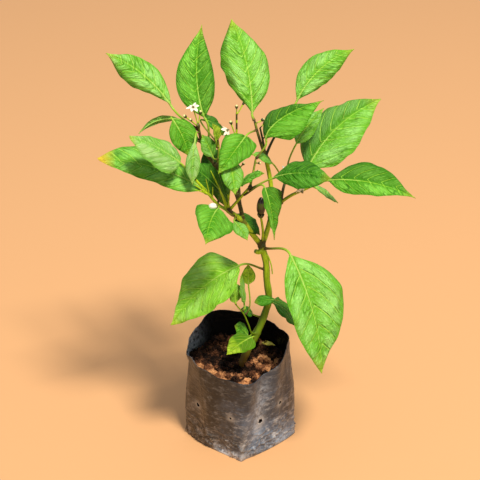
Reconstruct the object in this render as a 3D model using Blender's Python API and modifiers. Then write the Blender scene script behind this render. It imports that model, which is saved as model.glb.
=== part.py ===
# Young chilli pepper plant, in flower and with one dark fruit, in a black polythene nursery bag.
#
# The bag stands on z = 0 with the centre of its base at the origin. +Z is up, and the side of the
# plant that was seen faces -Y. Every size and place below is in millimetres: MM turns it to metres.

import math
import random

import bmesh
import bpy
import numpy as np

MM = 0.001
GAP = 0.3  # left between pieces that touch on the real plant
UP = np.array([0.0, 0.0, 1.0])

# The bag: its base is a rounded diamond, because the tube of film is folded flat under it, and its
# rim is a free loop given by angle round the bag in degrees, distance from the axis, and height.
BAG_WALL = 1.0
BASE_HALF_X, BASE_HALF_Y, BASE_SHARPNESS = 54.0, 47.5, 1.35
RIM = ((-172, 50, 96), (-125, 44, 89), (-84, 48, 86), (-40, 38, 93), (0, 45, 99),
       (50, 42, 106), (90, 47, 110), (120, 53, 111), (148, 50, 104))
BAG_BELLY = 1.5
BAG_SIDES = 36
BAG_LEVELS = (0.0, 0.04, 0.2, 0.4, 0.6, 0.8, 1.0)
DRAIN_HOLE = 1.8  # radius
DRAIN_HOLES = ((-157, 0.47), (-103, 0.52), (-62, 0.42), (-28, 0.5), (24, 0.42), (72, 0.5), (118, 0.44), (163, 0.5))

# The soil: its mean top, and the loose clods on it.
SOIL_TOP = 84.0
SOIL_CLEAR = BAG_WALL + GAP + 0.3
SOIL_RINGS = (0.9, 0.75, 0.6, 0.4, 0.2)
CLODS = 18
CLOD_SIZES = (2.0, 4.4)

# Stem and twigs: points along each one, its radius at its first and last point, and its sides.
# Where a twig leaves another, its first point lies on the other's axis.
BRANCHES = {
    "main": (((-1, -12, 50), (0, -11, 68), (1, -10, 85), (6, -9, 99), (15, -5, 116), (23, 0, 136),
              (26, 1, 151), (23, 2, 169), (21, 1, 189), (19, 0, 206)), 4.2, 3.2, 8),
    "left": (((19, 0, 206), (10, -5, 221), (2, -9, 235), (-11, -17, 250)), 2.7, 2.1, 8),
    "left_low": (((-11, -17, 250), (-21, -22, 259), (-30, -27, 273), (-40, -33, 288)), 1.6, 1.2, 6),
    "left_up": (((2, -9, 235), (-1, -7, 250), (-6, -4, 265), (-14, -1, 276), (-23, 2, 286),
                 (-30, 2, 296), (-35, 0, 309), (-38, -4, 327)), 2.1, 1.3, 8),
    "left_twin": (((-22, 2, 285), (-20, 6, 296), (-21, 9, 308)), 1.5, 1.1, 6),
    "bud_twig": (((-1, -7, 250), (-2, 0, 265), (-4, 7, 279), (-4, 12, 297), (-4, 14, 332)), 1.5, 0.9, 6),
    "middle": (((19, 0, 206), (23, 2, 217), (27, 5, 233), (28, 7, 249), (27, 8, 265), (25, 9, 277),
                (22, 10, 291)), 2.5, 1.9, 8),
    "mid_left": (((22, 10, 291), (18, 8, 304), (14, 9, 318), (12, 10, 326)), 1.5, 1.1, 6),
    "mid_back": (((22, 10, 291), (20, 14, 303), (17, 18, 316)), 1.3, 0.9, 6),
    "mid_right": (((22, 10, 291), (26, 16, 299), (31, 24, 306)), 1.4, 1.1, 6),
    "right": (((27, 5, 233), (32, 2, 243), (36, -2, 251), (45, -6, 260), (56, -9, 267), (68, -11, 274)),
              1.9, 1.2, 6),
    "right_up": (((36, -2, 251), (38, 2, 262), (41, 8, 271), (45, 14, 281)), 1.5, 1.1, 6),
    "cross": (((-11, -17, 250), (-1, -20, 264), (8, -22, 276)), 1.4, 1.2, 6),
    "cross_up": (((8, -22, 276), (11, -16, 289), (13, -12, 299)), 1.1, 0.9, 6),
    "fruit_stalk": (((19, 0, 206), (20, -4, 222), (18, -5, 238)), 1.3, 1.1, 6),
    "shoot": (((15, -5, 116), (10, -12, 120), (7, -16, 131), (3, -18, 143), (-1, -20, 150), (-5, -21, 156)),
              1.2, 0.9, 6),
    "dry_stalk": (((21, 1, 200), (25, -2, 196), (28, -3, 187), (29, -3, 178)), 0.8, 0.6, 6),
}

# Swollen nodes: place on a branch, and radius.
NODES = ((("main", 9.0), 4.3), (("main", 6.0), 4.0), (("left", 2.0), 2.9), (("left", 3.0), 2.6), (("left_up", 4.1), 2.3),
         (("middle", 2.0), 2.9), (("middle", 6.0), 2.7), (("right", 2.0), 2.3), (("cross", 2.0), 1.9),
         (("left_up", 7.0), 2.0), (("right_up", 2.0), 1.7), (("main", 4.0), 4.3))
NODE_LENGTH = 2.4  # times its radius

# Buds, calyxes and nubs: place they spring from, their tip, stalk radius, and radius and length of the head.
BUDS = (
    (("left_up", 7.0), (-49, -9, 338), 0.6, 1.5, 3.4),
    (("left_up", 6.9), (-44, -12, 336), 0.6, 1.3, 3.0),
    (("left_up", 7.0), (-36, -1, 338), 0.6, 1.5, 3.6),
    (("bud_twig", 3.3), (-9, 10, 324), 0.6, 1.5, 3.4),
    (("bud_twig", 4.0), (-4, 13, 338), 0.6, 1.4, 3.2),
    (("bud_twig", 3.9), (2, 16, 340), 0.6, 1.1, 2.8),
    (("mid_left", 2.6), (19, 12, 326), 0.6, 1.5, 3.0),
    (("mid_back", 2.0), (21, 19, 320), 0.6, 1.6, 3.2),
    (("mid_back", 1.2), (24, 19, 311), 0.6, 1.4, 3.0),
    (("cross_up", 1.6), (16, -15, 296), 0.6, 1.2, 2.6),
    (("cross_up", 0.9), (15, -19, 290), 0.6, 1.1, 2.4),
    (("bud_twig", 2.0), (2, 3, 287), 0.6, 1.3, 3.0),
    (("right", 3.6), (50, -12, 266), 0.6, 1.2, 2.8),
    (("main", 8.6), (14, -3, 201), 1.2, 2.0, 3.6),
)

# Flowers: place they spring from, centre of the corolla, the way it faces, and its radius.
FLOWERS = {
    "left": (("left_up", 7.0), (-42, -4, 344), (-0.1, -0.25, 1.0), 6.6),
    "middle": (("left_twin", 2.0), (-13, 4, 319), (0.75, -0.3, 0.6), 6.0),
    "right": (("right_up", 2.0), (39, 9, 288), (-0.4, -0.2, 0.9), 5.6),
    "low_right": (("right", 3.4), (54, -16, 271), (0.35, -0.75, -0.4), 4.6),
}
PETALS = 6
PETAL_THICK = 0.7
CALYX_RADIUS = 1.5
WHITE_BUD = (("left_low", 0.5), (-22, -28, 262), (-0.75, -0.4, -0.2), 3.0)  # foot, centre, way it points, radius
FRUIT_RADIUS, FRUIT_LENGTH = 3.9, 18.0

# Leaves. foot: where the stalk springs from. base: where the blade begins. turn and rise: the way the
# blade points, in degrees round from +X and up. roll: turn of the blade about its own midrib. bow and
# sway: how far the midrib arches up and sideways, as a share of the length, and peak: where along it.
# skew: the right half wider than the left. fold: rise of each half from the midrib, in degrees. belly
# and point: how blunt the blade's start and tip are. wave: height of the waves at its edges.
LEAVES = {
    "crown_far_left": dict(foot=("left_up", 6.7), base=(-59, -4, 344), turn=157, rise=32, long=77, wide=28,
                           roll=-38, bow=0.06, sway=0.04, curl=0.3, fold=(0, 10), belly=0.95, wave=0.08),
    "crown_left": dict(foot=("left_up", 5.1), base=(-33, 6, 332), turn=94, rise=60, long=81, wide=34,
                       bow=0.06, sway=-0.095, peak=0.45, fold=(10, 12), curl=0.2, belly=0.8, point=1.2),
    "crown_top": dict(foot=("mid_left", 3.0), base=(11, 12, 336), turn=116, rise=58, long=83, wide=49,
                      roll=2, bow=0.05, fold=(12, 6), curl=0.2, belly=0.8, point=1.1, wave=0.07),
    "crown_right": dict(foot=("mid_right", 2.0), base=(49, 36, 332), turn=24, rise=37, long=73, wide=25,
                        roll=38, bow=0.06, sway=-0.09, fold=(8, 4), wave=0.1, waves=4),
    "arched": dict(foot=("cross_up", 2.0), base=(25, -8, 321), turn=18, rise=28, long=58, wide=38,
                   roll=14, peak=0.35, sway=0.05, fold=(6, -4), belly=0.6, point=1.1),
    "broad_right": dict(foot=("right_up", 3.0), base=(64, 16, 280), turn=28, rise=36, long=89, wide=66,
                        roll=6, bow=0.08, sway=-0.02, skew=-0.08, fold=(8, 4), belly=0.55, point=1.05),
    "behind_right": dict(foot=("right_up", 2.4), base=(48, 20, 295), turn=29, rise=45, long=41, wide=30,
                         roll=20, bow=0.08, belly=0.55, out=(-0.2, 1, 0.3)),
    "far_right": dict(foot=("right", 5.0), base=(78, -14, 278), turn=-12, rise=-7, long=79, wide=42,
                      roll=24, bow=0.11, fold=(16, 14), belly=0.9),
    "mid_right": dict(foot=("cross", 1.7), base=(27, -20, 285), turn=-27, rise=9, long=62, wide=36,
                      roll=26, fold=(4, 4), belly=0.8),
    "sliver_right": dict(foot=("right", 4.2), base=(64, -4, 267), turn=37, rise=-41, long=40, wide=12,
                         roll=35, bow=0.04),
    "hanging_middle": dict(foot=("cross", 1.3), base=(22, -30, 280), turn=-65, rise=-68, long=47, wide=34,
                           roll=-14, bow=0.06, sway=0.06, fold=(2, 60), belly=0.5, point=1.3),
    "small_middle": dict(foot=("left_up", 2.0), base=(-3, -28, 280), turn=-23, rise=33, long=30, wide=20,
                         roll=10, bow=0.06, sway=-0.05),
    "hanging_centre": dict(foot=("mid_left", 2.0), base=(4, -8, 319), turn=-127, rise=-29, long=46, wide=32,
                           roll=-10, bow=0.08, sway=-0.04, fold=(10, 30), belly=0.4),
    "tongue_centre": dict(foot=("bud_twig", 3.0), base=(-10, -26, 306), turn=-76, rise=-54, long=24, wide=14,
                          bow=0.06, belly=0.9),
    "little_centre": dict(foot=("right_up", 1.6), base=(28, 2, 289), turn=-157, rise=29, long=23, wide=15,
                          roll=-20),
    "hanging_left": dict(foot=("left_up", 6.6), base=(-40, -24, 329), turn=-100, rise=-61, long=46, wide=18,
                         roll=12, bow=0.06, belly=1.7, point=1.1),
    "pale_left": dict(foot=("left_low", 3.0), base=(-52, -34, 304), turn=-160, rise=37, long=57, wide=33,
                      roll=-32, bow=0.04, fold=(0, 4), belly=0.35, point=0.95),
    "long_left": dict(foot=("left_low", 2.0), base=(-34, -25, 278), turn=-175, rise=18, long=96, wide=40,
                      roll=-28, bow=0.03, sway=0.05, fold=(2, 8), belly=0.65, point=1.1),
    "hook_left": dict(foot=("left_up", 6.0), base=(-54, 4, 330), turn=-168, rise=-16, long=39, wide=9,
                      roll=70, bow=0.22),
    "inner_left": dict(foot=("left_up", 6.1), base=(-57, -11, 335), turn=-50, rise=-60, long=31, wide=24,
                       bow=0.06, belly=0.5, out=(-1, -0.4, 0.3), roll=35),
    "dark_back": dict(foot=("left_twin", 1.6), base=(-34, 30, 319), turn=29, rise=-41, long=27, wide=22,
                      roll=20),
    "young_back": dict(foot=("left_twin", 1.4), base=(-22, 0, 311), turn=-142, rise=77, long=15, wide=10,
                       bow=0.0, fold=(40, 40), out=(-1, -1, 0.6)),
    "inner_low": dict(foot=("left_twin", 0.6), base=(-25, -6, 298), turn=167, rise=64, long=20, wide=13,
                      bow=0.06),
    "shaded_left": dict(foot=("left_up", 4.6), base=(-29, 20, 298), turn=-56, rise=-75, long=42, wide=24,
                        bow=0.06),
    "light_low": dict(foot=("left_low", 1.0), base=(-19, -20, 266), turn=-161, rise=58, long=23, wide=14,
                      bow=0.06),
    "heart_left": dict(foot=("left", 2.6), base=(-20, -31, 260), turn=-103, rise=-18, long=50, wide=39,
                       roll=-8, bow=0.08, fold=(12, 6), belly=0.32, point=0.95, out=(-0.2, -1, 0.1)),
    "under_fork": dict(foot=("left", 2.5), base=(-6, -20, 241), turn=-55, rise=-28, long=19, wide=12,
                       bow=0.06, out=(0.3, -1, -0.4)),
    "under_fork_back": dict(foot=("left", 1.8), base=(-7, 8, 220), turn=-29, rise=-14, long=17, wide=12,
                            bow=0.06),
    "low_left": dict(foot=("main", 7.6), base=(-3, -12, 194), turn=-143, rise=-28, long=86, wide=60,
                     roll=6, bow=0.06, sway=0.02, skew=0.08, fold=(4, 6), belly=(0.75, 0.3)),
    "low_right": dict(foot=("main", 8.8), base=(45, -20, 208), turn=-48, rise=-68, long=115, wide=64,
                      bow=0.09, sway=-0.03, skew=-0.12, fold=(4, 6), belly=(0.8, 0.6), point=1.05),
    "round_low": dict(foot=("main", 5.9), base=(34, -8, 153), turn=-160, rise=5, long=23, wide=12,
                      roll=-30, bow=0.12, belly=1.2, point=0.6),
    "low_back": dict(foot=("main", 5.7), base=(30, 6, 143), turn=18, rise=-52, long=42, wide=32,
                     roll=15, belly=0.6),
    "bright_low": dict(foot=("main", 3.6), base=(10, -21, 121), turn=-141, rise=-15, long=30, wide=26,
                       roll=-6, bow=0.06, fold=(10, 14), belly=0.6, point=0.8),
    "curled_low": dict(foot=("main", 4.4), base=(7, -4, 115), turn=-160, rise=44, long=16, wide=14,
                       roll=-20, belly=0.8, point=0.6),
    "shoot_dark": dict(foot=("main", 4.7), base=(11, -4, 136), turn=-147, rise=33, long=17, wide=11,
                       roll=-40),
    "shoot_up": dict(foot=("shoot", 3.6), base=(4, -15, 150), turn=-152, rise=82, long=30, wide=12,
                     bow=0.0, belly=1.2, point=0.7, out=(1, 0.8, 0.3)),
    "shoot_top": dict(foot=("shoot", 5.0), base=(-5, -22, 158), turn=124, rise=82, long=17, wide=14,
                      bow=0.0, fold=(30, 10)),
    "shoot_high": dict(foot=("shoot", 3.0), base=(7, -8, 170), turn=104, rise=83, long=18, wide=12,
                       bow=0.0, belly=0.5, out=(1, 0.6, 0.4)),
}
LEAF_DEFAULTS = dict(out=None, roll=0, bow=0.1, sway=0.0, peak=0.5, skew=0.0, fold=(8, 8), curl=0.15,
                     belly=0.75, point=1.0, wave=0.06, waves=3)
BLADE_THICK = 0.8
MIDRIB_THICK = 1.3
STALK_THICK = 1.7
STALK_WIDE = 1.8
LEAF_GRIDS = ((45, 9, 4), (22, 7, 4), (0, 6, 2))  # blades longer than this many mm: rows, columns
STALK_ROWS = 3
FALLEN_LEAF = dict(place=(23, 27), turn=-20, long=13, wide=7)

COLOURS = {"film": "#23201e", "soil": "#4a2f1c", "bark": "#5d7a1c", "leaf": "#4f9a22", "petal": "#f4f1e6",
           "fruit": "#1f1712", "dry_leaf": "#c9b53a"}


def unit(vectors):
    return vectors / np.linalg.norm(vectors, axis=-1, keepdims=True)


def along(points, place):
    """Points of the smooth curve through `points` (Catmull-Rom), at `place`, counted in points."""
    p = np.asarray(points, float)
    place = np.atleast_1d(np.asarray(place, float))
    i = np.clip(place.astype(int), 0, len(p) - 2)
    u = (place - i)[:, None]
    before, after = p[np.maximum(i - 1, 0)], p[np.minimum(i + 2, len(p) - 1)]
    start, end = p[i], p[i + 1]
    slope_in, slope_out = (end - before) / 2, (after - start) / 2
    return ((2 * u**3 - 3 * u**2 + 1) * start + (u**3 - 2 * u**2 + u) * slope_in
            + (3 * u**2 - 2 * u**3) * end + (u**3 - u**2) * slope_out)


def spot(foot):
    """Point, direction and radius of a branch at a foot (branch, place)."""
    name, place = foot
    points, start, end, _ = BRANCHES[name]
    last = len(points) - 1
    ahead, behind = along(points, min(place + 0.05, last))[0], along(points, max(place - 0.05, 0))[0]
    return along(points, place)[0], unit(ahead - behind), start + (end - start) * place / last, place >= last


def round_value(angle, column):
    """A rim value at an angle in degrees: cubic through the rim's points, closed round the bag."""
    places = np.array([p[0] for p in RIM], float)
    values = np.array([p[column] for p in RIM], float)
    places = np.concatenate((places[-2:] - 360, places, places[:2] + 360))
    values = np.concatenate((values[-2:], values, values[:2]))
    angle = (np.asarray(angle, float) + 180) % 360 - 180
    i = np.searchsorted(places, angle, side="right") - 1
    span = places[i + 1] - places[i]
    u = (angle - places[i]) / span
    slope_in = (values[i + 1] - values[i - 1]) / (places[i + 1] - places[i - 1]) * span
    slope_out = (values[i + 2] - values[i]) / (places[i + 2] - places[i]) * span
    return ((2 * u**3 - 3 * u**2 + 1) * values[i] + (u**3 - 2 * u**2 + u) * slope_in
            + (3 * u**2 - 2 * u**3) * values[i + 1] + (u**3 - u**2) * slope_out)


def bag_radius(angle, level):
    """Outer radius of the bag at an angle in degrees, and a level from 0 at its base to 1 at its rim."""
    a = np.radians(angle)
    base = (np.abs(np.cos(a) / BASE_HALF_X) ** BASE_SHARPNESS
            + np.abs(np.sin(a) / BASE_HALF_Y) ** BASE_SHARPNESS) ** (-1 / BASE_SHARPNESS)
    creases = (0.8 * np.sin(6 * a + 4 * level) + 0.5 * np.sin(9 * a - 5 * level)) * np.minimum(1, 6 * level)
    return (1 - level) * base + level * round_value(angle, 1) + BAG_BELLY * np.sin(math.pi * level) + creases


def bag_ring(level, inset=0.0):
    angles = np.arange(BAG_SIDES) * 360 / BAG_SIDES - 180
    radius = bag_radius(angles, level) - inset
    a = np.radians(angles)
    return np.stack([radius * np.cos(a), radius * np.sin(a), level * round_value(angles, 2)], axis=-1)


def soil_ring(height):
    """Ring clear of the bag's flat-sided wall, at one height or at a height for each angle."""
    angles = np.arange(BAG_SIDES) * 360 / BAG_SIDES - 180
    walls = np.array([bag_radius(angles, level) for level in BAG_LEVELS])
    heights = np.broadcast_to(np.asarray(height, float), angles.shape)
    levels = heights / round_value(angles, 2)
    radius = np.array([np.interp(level, BAG_LEVELS, wall) for level, wall in zip(levels, walls.T)]) - SOIL_CLEAR
    a = np.radians(angles)
    return np.stack([radius * np.cos(a), radius * np.sin(a), heights], axis=-1)


def soil_relief(x, y):
    """Height of the soil's top over its mean: low swells, lower along the back wall."""
    return (1.3 * np.sin(0.13 * x + 0.6) * np.cos(0.11 * y) + 0.9 * np.sin(0.31 * x - 0.27 * y)
            - 1.5 * np.clip(y / 45, 0, 1))


def linear(code):
    """sRGB hex to linear RGBA."""
    parts = [int(code[i:i + 2], 16) / 255 for i in (1, 3, 5)]
    return [c / 12.92 if c <= 0.04045 else ((c + 0.055) / 1.055) ** 2.4 for c in parts] + [1.0]


def finish(obj, colour, roughness):
    """Put a piece in the plant's collection, shade it smooth and give it its own material."""
    material = bpy.data.materials.new(obj.name)
    material.use_nodes = True
    shader = material.node_tree.nodes["Principled BSDF"]
    shader.inputs["Base Color"].default_value = linear(COLOURS[colour])
    shader.inputs["Roughness"].default_value = roughness
    obj.data.materials.clear()
    obj.data.materials.append(material)
    obj.data.shade_smooth()
    for collection in list(obj.users_collection):
        collection.objects.unlink(obj)
    PLANT.objects.link(obj)
    return obj


def object_from(name, bm):
    bmesh.ops.recalc_face_normals(bm, faces=bm.faces)
    bmesh.ops.scale(bm, vec=(MM, MM, MM), verts=bm.verts)
    mesh = bpy.data.meshes.new(name)
    bm.to_mesh(mesh)
    bm.free()
    obj = bpy.data.objects.new(name, mesh)
    bpy.context.scene.collection.objects.link(obj)
    return obj


def loft(name, rings, start=None, end=None):
    """Skin over closed rings of equal count, with a fan to a point `start` or `end` where one is given."""
    bm = bmesh.new()
    rows = [[bm.verts.new(p) for p in ring] for ring in rings]
    count = len(rows[0])
    for low, high in zip(rows, rows[1:]):
        for i in range(count):
            bm.faces.new((low[i], low[(i + 1) % count], high[(i + 1) % count], high[i]))
    for point, row in ((start, rows[0]), (end, rows[-1])):
        if point is not None:
            pole = bm.verts.new(point)
            for i in range(count):
                bm.faces.new((row[i], row[(i + 1) % count], pole))
    return object_from(name, bm)


def tube(name, points, radii, sides):
    """Capped round tube along points, its radius changing from point to point, as a closed mesh."""
    curve = bpy.data.curves.new(name, "CURVE")
    curve.dimensions = "3D"
    curve.bevel_depth = MM
    curve.bevel_resolution = (sides - 4) // 2
    curve.use_fill_caps = True
    spline = curve.splines.new("POLY")
    spline.points.add(len(points) - 1)
    for target, point, radius in zip(spline.points, points, radii):
        target.co = (*(np.asarray(point) * MM), 1.0)
        target.radius = radius
    drawn = bpy.data.objects.new(name, curve)
    bpy.context.scene.collection.objects.link(drawn)
    bpy.context.view_layer.update()
    mesh = bpy.data.meshes.new_from_object(drawn.evaluated_get(bpy.context.evaluated_depsgraph_get()))
    bpy.data.objects.remove(drawn)
    bm = bmesh.new()
    bm.from_mesh(mesh)
    bmesh.ops.remove_doubles(bm, verts=bm.verts, dist=MM / 100)
    bmesh.ops.recalc_face_normals(bm, faces=bm.faces)
    bm.to_mesh(mesh)
    bm.free()
    obj = bpy.data.objects.new(name, mesh)
    bpy.context.scene.collection.objects.link(obj)
    return obj


def blob(name, centre, direction, radius, length, sides=6, rings=5, blunt=0.0):
    """Egg with its long axis along a direction; blunt moves its widest part towards its start."""
    bm = bmesh.new()
    bmesh.ops.create_uvsphere(bm, u_segments=sides, v_segments=rings, radius=1.0)
    axis = unit(np.asarray(direction, float))
    side = unit(np.cross(axis, [0.31, 0.87, 0.38]))
    third = np.cross(axis, side)
    for vert in bm.verts:
        x, y, z = vert.co
        slim = radius * (1 - blunt * z)
        vert.co = np.asarray(centre) + side * x * slim + third * y * slim + axis * z * length / 2
    return object_from(name, bm)


def bake(obj):
    """Apply a piece's modifiers to its mesh."""
    bpy.context.view_layer.update()
    mesh = bpy.data.meshes.new_from_object(obj.evaluated_get(bpy.context.evaluated_depsgraph_get()))
    obj.modifiers.clear()
    obj.data = mesh


def combine(obj, pieces, operation):
    """Join the pieces to an object, or cut them out of it, in one Boolean."""
    helpers = bpy.data.collections.new("helpers")
    bpy.context.scene.collection.children.link(helpers)
    for piece in pieces:
        bpy.context.scene.collection.objects.unlink(piece)
        helpers.objects.link(piece)
        piece.hide_render = True
        piece.display_type = "WIRE"
    modifier = obj.modifiers.new("Combine", "BOOLEAN")
    modifier.operation = operation
    modifier.operand_type = "COLLECTION"
    modifier.collection = helpers
    modifier.solver = "EXACT"
    bake(obj)
    for piece in pieces:
        bpy.data.objects.remove(piece)
    bpy.data.collections.remove(helpers)


def make_bag():
    rings = [bag_ring(level) for level in BAG_LEVELS]
    rings[0][:, 2] = 0.0
    bag = loft("grow_bag", rings, start=(0.0, 0.0, 0.0))
    wall = bag.modifiers.new("Wall", "SOLIDIFY")
    wall.thickness = BAG_WALL * MM
    wall.offset = -1.0
    wall.use_even_offset = True
    bake(bag)
    cutters = []
    for number, (angle, level) in enumerate(DRAIN_HOLES):
        a = math.radians(angle)
        out = np.array([math.cos(a), math.sin(a), 0.0])
        middle = out * float(bag_radius(angle, level)) + UP * level * float(round_value(angle, 2))
        cutters.append(tube(f"hole_{number}", [middle - 4 * out, middle + 4 * out], [DRAIN_HOLE] * 2, 8))
    combine(bag, cutters, "DIFFERENCE")
    finish(bag, "film", 0.45)


def make_soil():
    draw = random.Random(7)
    edge = soil_ring(SOIL_TOP)
    rim = round_value(np.arange(BAG_SIDES) * 360 / BAG_SIDES - 180, 2)
    top = SOIL_TOP + soil_relief(edge[:, 0], edge[:, 1])
    rings = [soil_ring(BAG_WALL + GAP + 0.1)] + [soil_ring(level * rim) for level in BAG_LEVELS[1:5]]
    rings += [soil_ring(np.minimum(BAG_LEVELS[5] * rim, top - 2)), soil_ring(top)]
    for share in SOIL_RINGS:
        ring = edge * [share, share, 1.0]
        ring[:, 2] += soil_relief(ring[:, 0], ring[:, 1]) + [draw.uniform(-0.9, 0.9) for _ in ring]
        rings.append(ring)
    floor = (0.0, 0.0, BAG_WALL + GAP + 0.1)
    soil = loft("soil", rings, start=floor, end=(0.0, 0.0, SOIL_TOP + float(soil_relief(0.0, 0.0))))
    clods = []
    stem_point = np.array(BRANCHES["main"][0][2][:2])
    while len(clods) < CLODS:
        size = draw.uniform(*CLOD_SIZES)
        angle, share = draw.uniform(-180, 180), math.sqrt(draw.uniform(0.0, 0.78))
        reach = float(bag_radius(angle, 0.85)) - SOIL_CLEAR
        point = np.array([math.cos(math.radians(angle)), math.sin(math.radians(angle))]) * reach * share
        clear_of_stem = np.linalg.norm(point - stem_point) > size + 6
        clear_of_leaf = np.linalg.norm(point - FALLEN_LEAF["place"]) > size + 9
        if clear_of_stem and clear_of_leaf and reach * (1 - share) > size + 1.5:
            bm = bmesh.new()
            bmesh.ops.create_icosphere(bm, subdivisions=1, radius=size)
            for vert in bm.verts:
                vert.co *= draw.uniform(0.8, 1.15)
                vert.co.z *= 0.8
            height = SOIL_TOP + float(soil_relief(*point)) + 0.1 * size
            bmesh.ops.translate(bm, vec=(*point, height), verts=bm.verts)
            clods.append(object_from(f"clod_{len(clods)}", bm))
    combine(soil, clods, "UNION")
    points, start, end, sides = BRANCHES["main"]
    hole = along(points, np.linspace(0, 3, 10))
    hole[0] -= [0, 0, GAP]
    radii = [tap_radius(u) + GAP + 0.1 for u in np.linspace(0, 3, 10)]
    combine(soil, [tube("stem_hole", hole, radii, sides)], "DIFFERENCE")
    finish(soil, "soil", 0.95)


def tap_radius(place):
    """Radius of the main stem: it narrows again down the tap root."""
    points, start, end, _ = BRANCHES["main"]
    full = start + (end - start) * place / (len(points) - 1)
    return full * min(1.0, 0.55 + 0.25 * place)


def branch_tube(name):
    points, start, end, sides = BRANCHES[name]
    last = len(points) - 1
    places = np.linspace(0, last, last + 1 + last * (name == "main"))
    radii = [tap_radius(u) if name == "main" else start + (end - start) * u / last for u in places]
    return tube(name, along(points, places), radii, sides)


def stalk_path(foot, tip, bend):
    """A short stalk from a branch to a point, rising first."""
    start, branch, _, at_end = spot(foot)
    start = start - branch * (0.9 if at_end else 0.0)
    tip = np.asarray(tip, float)
    middle = (start + tip) / 2 + UP * bend
    return [start, middle, tip]


def make_stem():
    stem = branch_tube("main")
    stem.name = "stem"
    pieces = [branch_tube(name) for name in BRANCHES if name != "main"]
    for number, (foot, radius) in enumerate(NODES):
        centre, direction, _, _ = spot(foot)
        pieces.append(blob(f"node_{number}", centre, direction, radius, NODE_LENGTH * radius, sides=6, rings=4))
    for number, (foot, tip, stalk, radius, length) in enumerate(BUDS):
        path = stalk_path(foot, tip, -0.5)
        pieces.append(tube(f"bud_stalk_{number}", path, [stalk] * len(path), 4))
        pieces.append(blob(f"bud_{number}", path[-1], path[-1] - path[-2], radius, length, rings=4))
    for name, (foot, centre, facing, _) in FLOWERS.items():
        pieces += flower_stalk(name, foot, centre, facing, PETAL_THICK / 2 + GAP)
    foot, centre, facing, radius = WHITE_BUD
    pieces += flower_stalk("white_bud", foot, centre, facing, radius * 1.3 + GAP)
    tip = np.array(BRANCHES["fruit_stalk"][0][-1], float)
    pieces.append(blob("fruit_calyx", tip, UP, 2.4, 3.0, sides=8))
    combine(stem, pieces, "UNION")
    finish(stem, "bark", 0.6)


def flower_stalk(name, foot, centre, facing, back):
    """Thin stalk with the green cup behind a flower; the cup's face ends `back` short of the centre."""
    facing = unit(np.asarray(facing, float))
    cup = np.asarray(centre, float) - facing * (back + 1.3)
    path = stalk_path(foot, cup, 1.0)
    cone = tube(f"{name}_cup", [cup - 1.2 * facing, cup + 0.2 * facing, cup + 1.3 * facing],
                [0.8, CALYX_RADIUS, CALYX_RADIUS * 0.9], 8)
    return [tube(f"{name}_stalk", path, [0.6] * len(path), 4), cone]


def make_flower(name):
    """Flat star of joined petals whose tips turn back, with a low dome of anthers at its heart."""
    _, centre, facing, radius = FLOWERS[name]
    facing = unit(np.asarray(facing, float))
    side = unit(np.cross(facing, [0.23, 0.9, 0.36]))
    third = np.cross(facing, side)
    turns = np.arange(2 * PETALS) * math.pi / PETALS
    rings = []
    for share, tip_share, lift in ((0.3, 0.3, 0.0), (0.48, 0.6, 0.2), (0.62, 1.0, -0.5)):
        reach = radius * np.where(np.arange(2 * PETALS) % 2, share, tip_share)
        height = lift * np.where(np.arange(2 * PETALS) % 2, 0.3, 1.0)
        rings.append(np.asarray(centre) + (reach * np.cos(turns))[:, None] * side
                     + (reach * np.sin(turns))[:, None] * third + height[:, None] * facing)
    flower = loft(f"flower_{name}", rings, start=centre)
    petals = flower.modifiers.new("Petals", "SOLIDIFY")
    petals.thickness = PETAL_THICK * MM
    petals.offset = 0.0
    bake(flower)
    heart = blob("anthers", np.asarray(centre) + 0.9 * facing, facing, 1.2, 2.0, sides=6)
    combine(flower, [heart], "UNION")
    finish(flower, "petal", 0.6)


def make_white_bud():
    _, centre, facing, radius = WHITE_BUD
    finish(blob("flower_bud", centre, facing, radius, radius * 2.5, sides=10, rings=7), "petal", 0.6)


def make_fruit():
    """Upright fruit on its stalk, blunt at the calyx and drawn to a rounded point."""
    stalk_tip = np.array(BRANCHES["fruit_stalk"][0][-1], float)
    middle = stalk_tip + UP * (1.5 + GAP + FRUIT_LENGTH / 2)
    finish(blob("fruit", middle, UP, FRUIT_RADIUS, FRUIT_LENGTH, sides=12, rings=9, blunt=0.18), "fruit", 0.25)


def half_width(t, belly, point):
    """Outline of one half of a blade: 0 at its start and tip, 1 at its widest."""
    widest = belly / (belly + point)
    return t**belly * (1 - t) ** point / (widest**belly * (1 - widest) ** point)


def pair(value):
    return value if isinstance(value, tuple) else (value, value)


def blade_frame(leaf, t):
    """Midrib points, its direction, and the blade's sideways and upward directions at shares t of it."""
    turn, rise, roll = (math.radians(leaf[key]) for key in ("turn", "rise", "roll"))
    axis = np.array([math.cos(rise) * math.cos(turn), math.cos(rise) * math.sin(turn), math.sin(rise)])
    level_up = unit(UP - axis[2] * axis)
    level_side = np.cross(axis, level_up)
    up = level_up * math.cos(roll) + level_side * math.sin(roll)
    side = level_side * math.cos(roll) - level_up * math.sin(roll)

    def middle(t):
        early = t ** (math.log(0.5) / math.log(leaf["peak"]))
        hump = (4 * early * (1 - early))[:, None] * leaf["long"]
        return (np.asarray(leaf["base"], float) + (t * leaf["long"])[:, None] * axis
                + hump * (leaf["bow"] * up + leaf["sway"] * side))

    step = 0.002
    ahead, behind = np.minimum(t + step, 1.0), np.maximum(t - step, 0.0)
    direction = unit(middle(ahead) - middle(behind))
    ups = unit(up - (direction @ up)[:, None] * direction)
    return middle(t), direction, np.cross(direction, ups), ups


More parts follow.
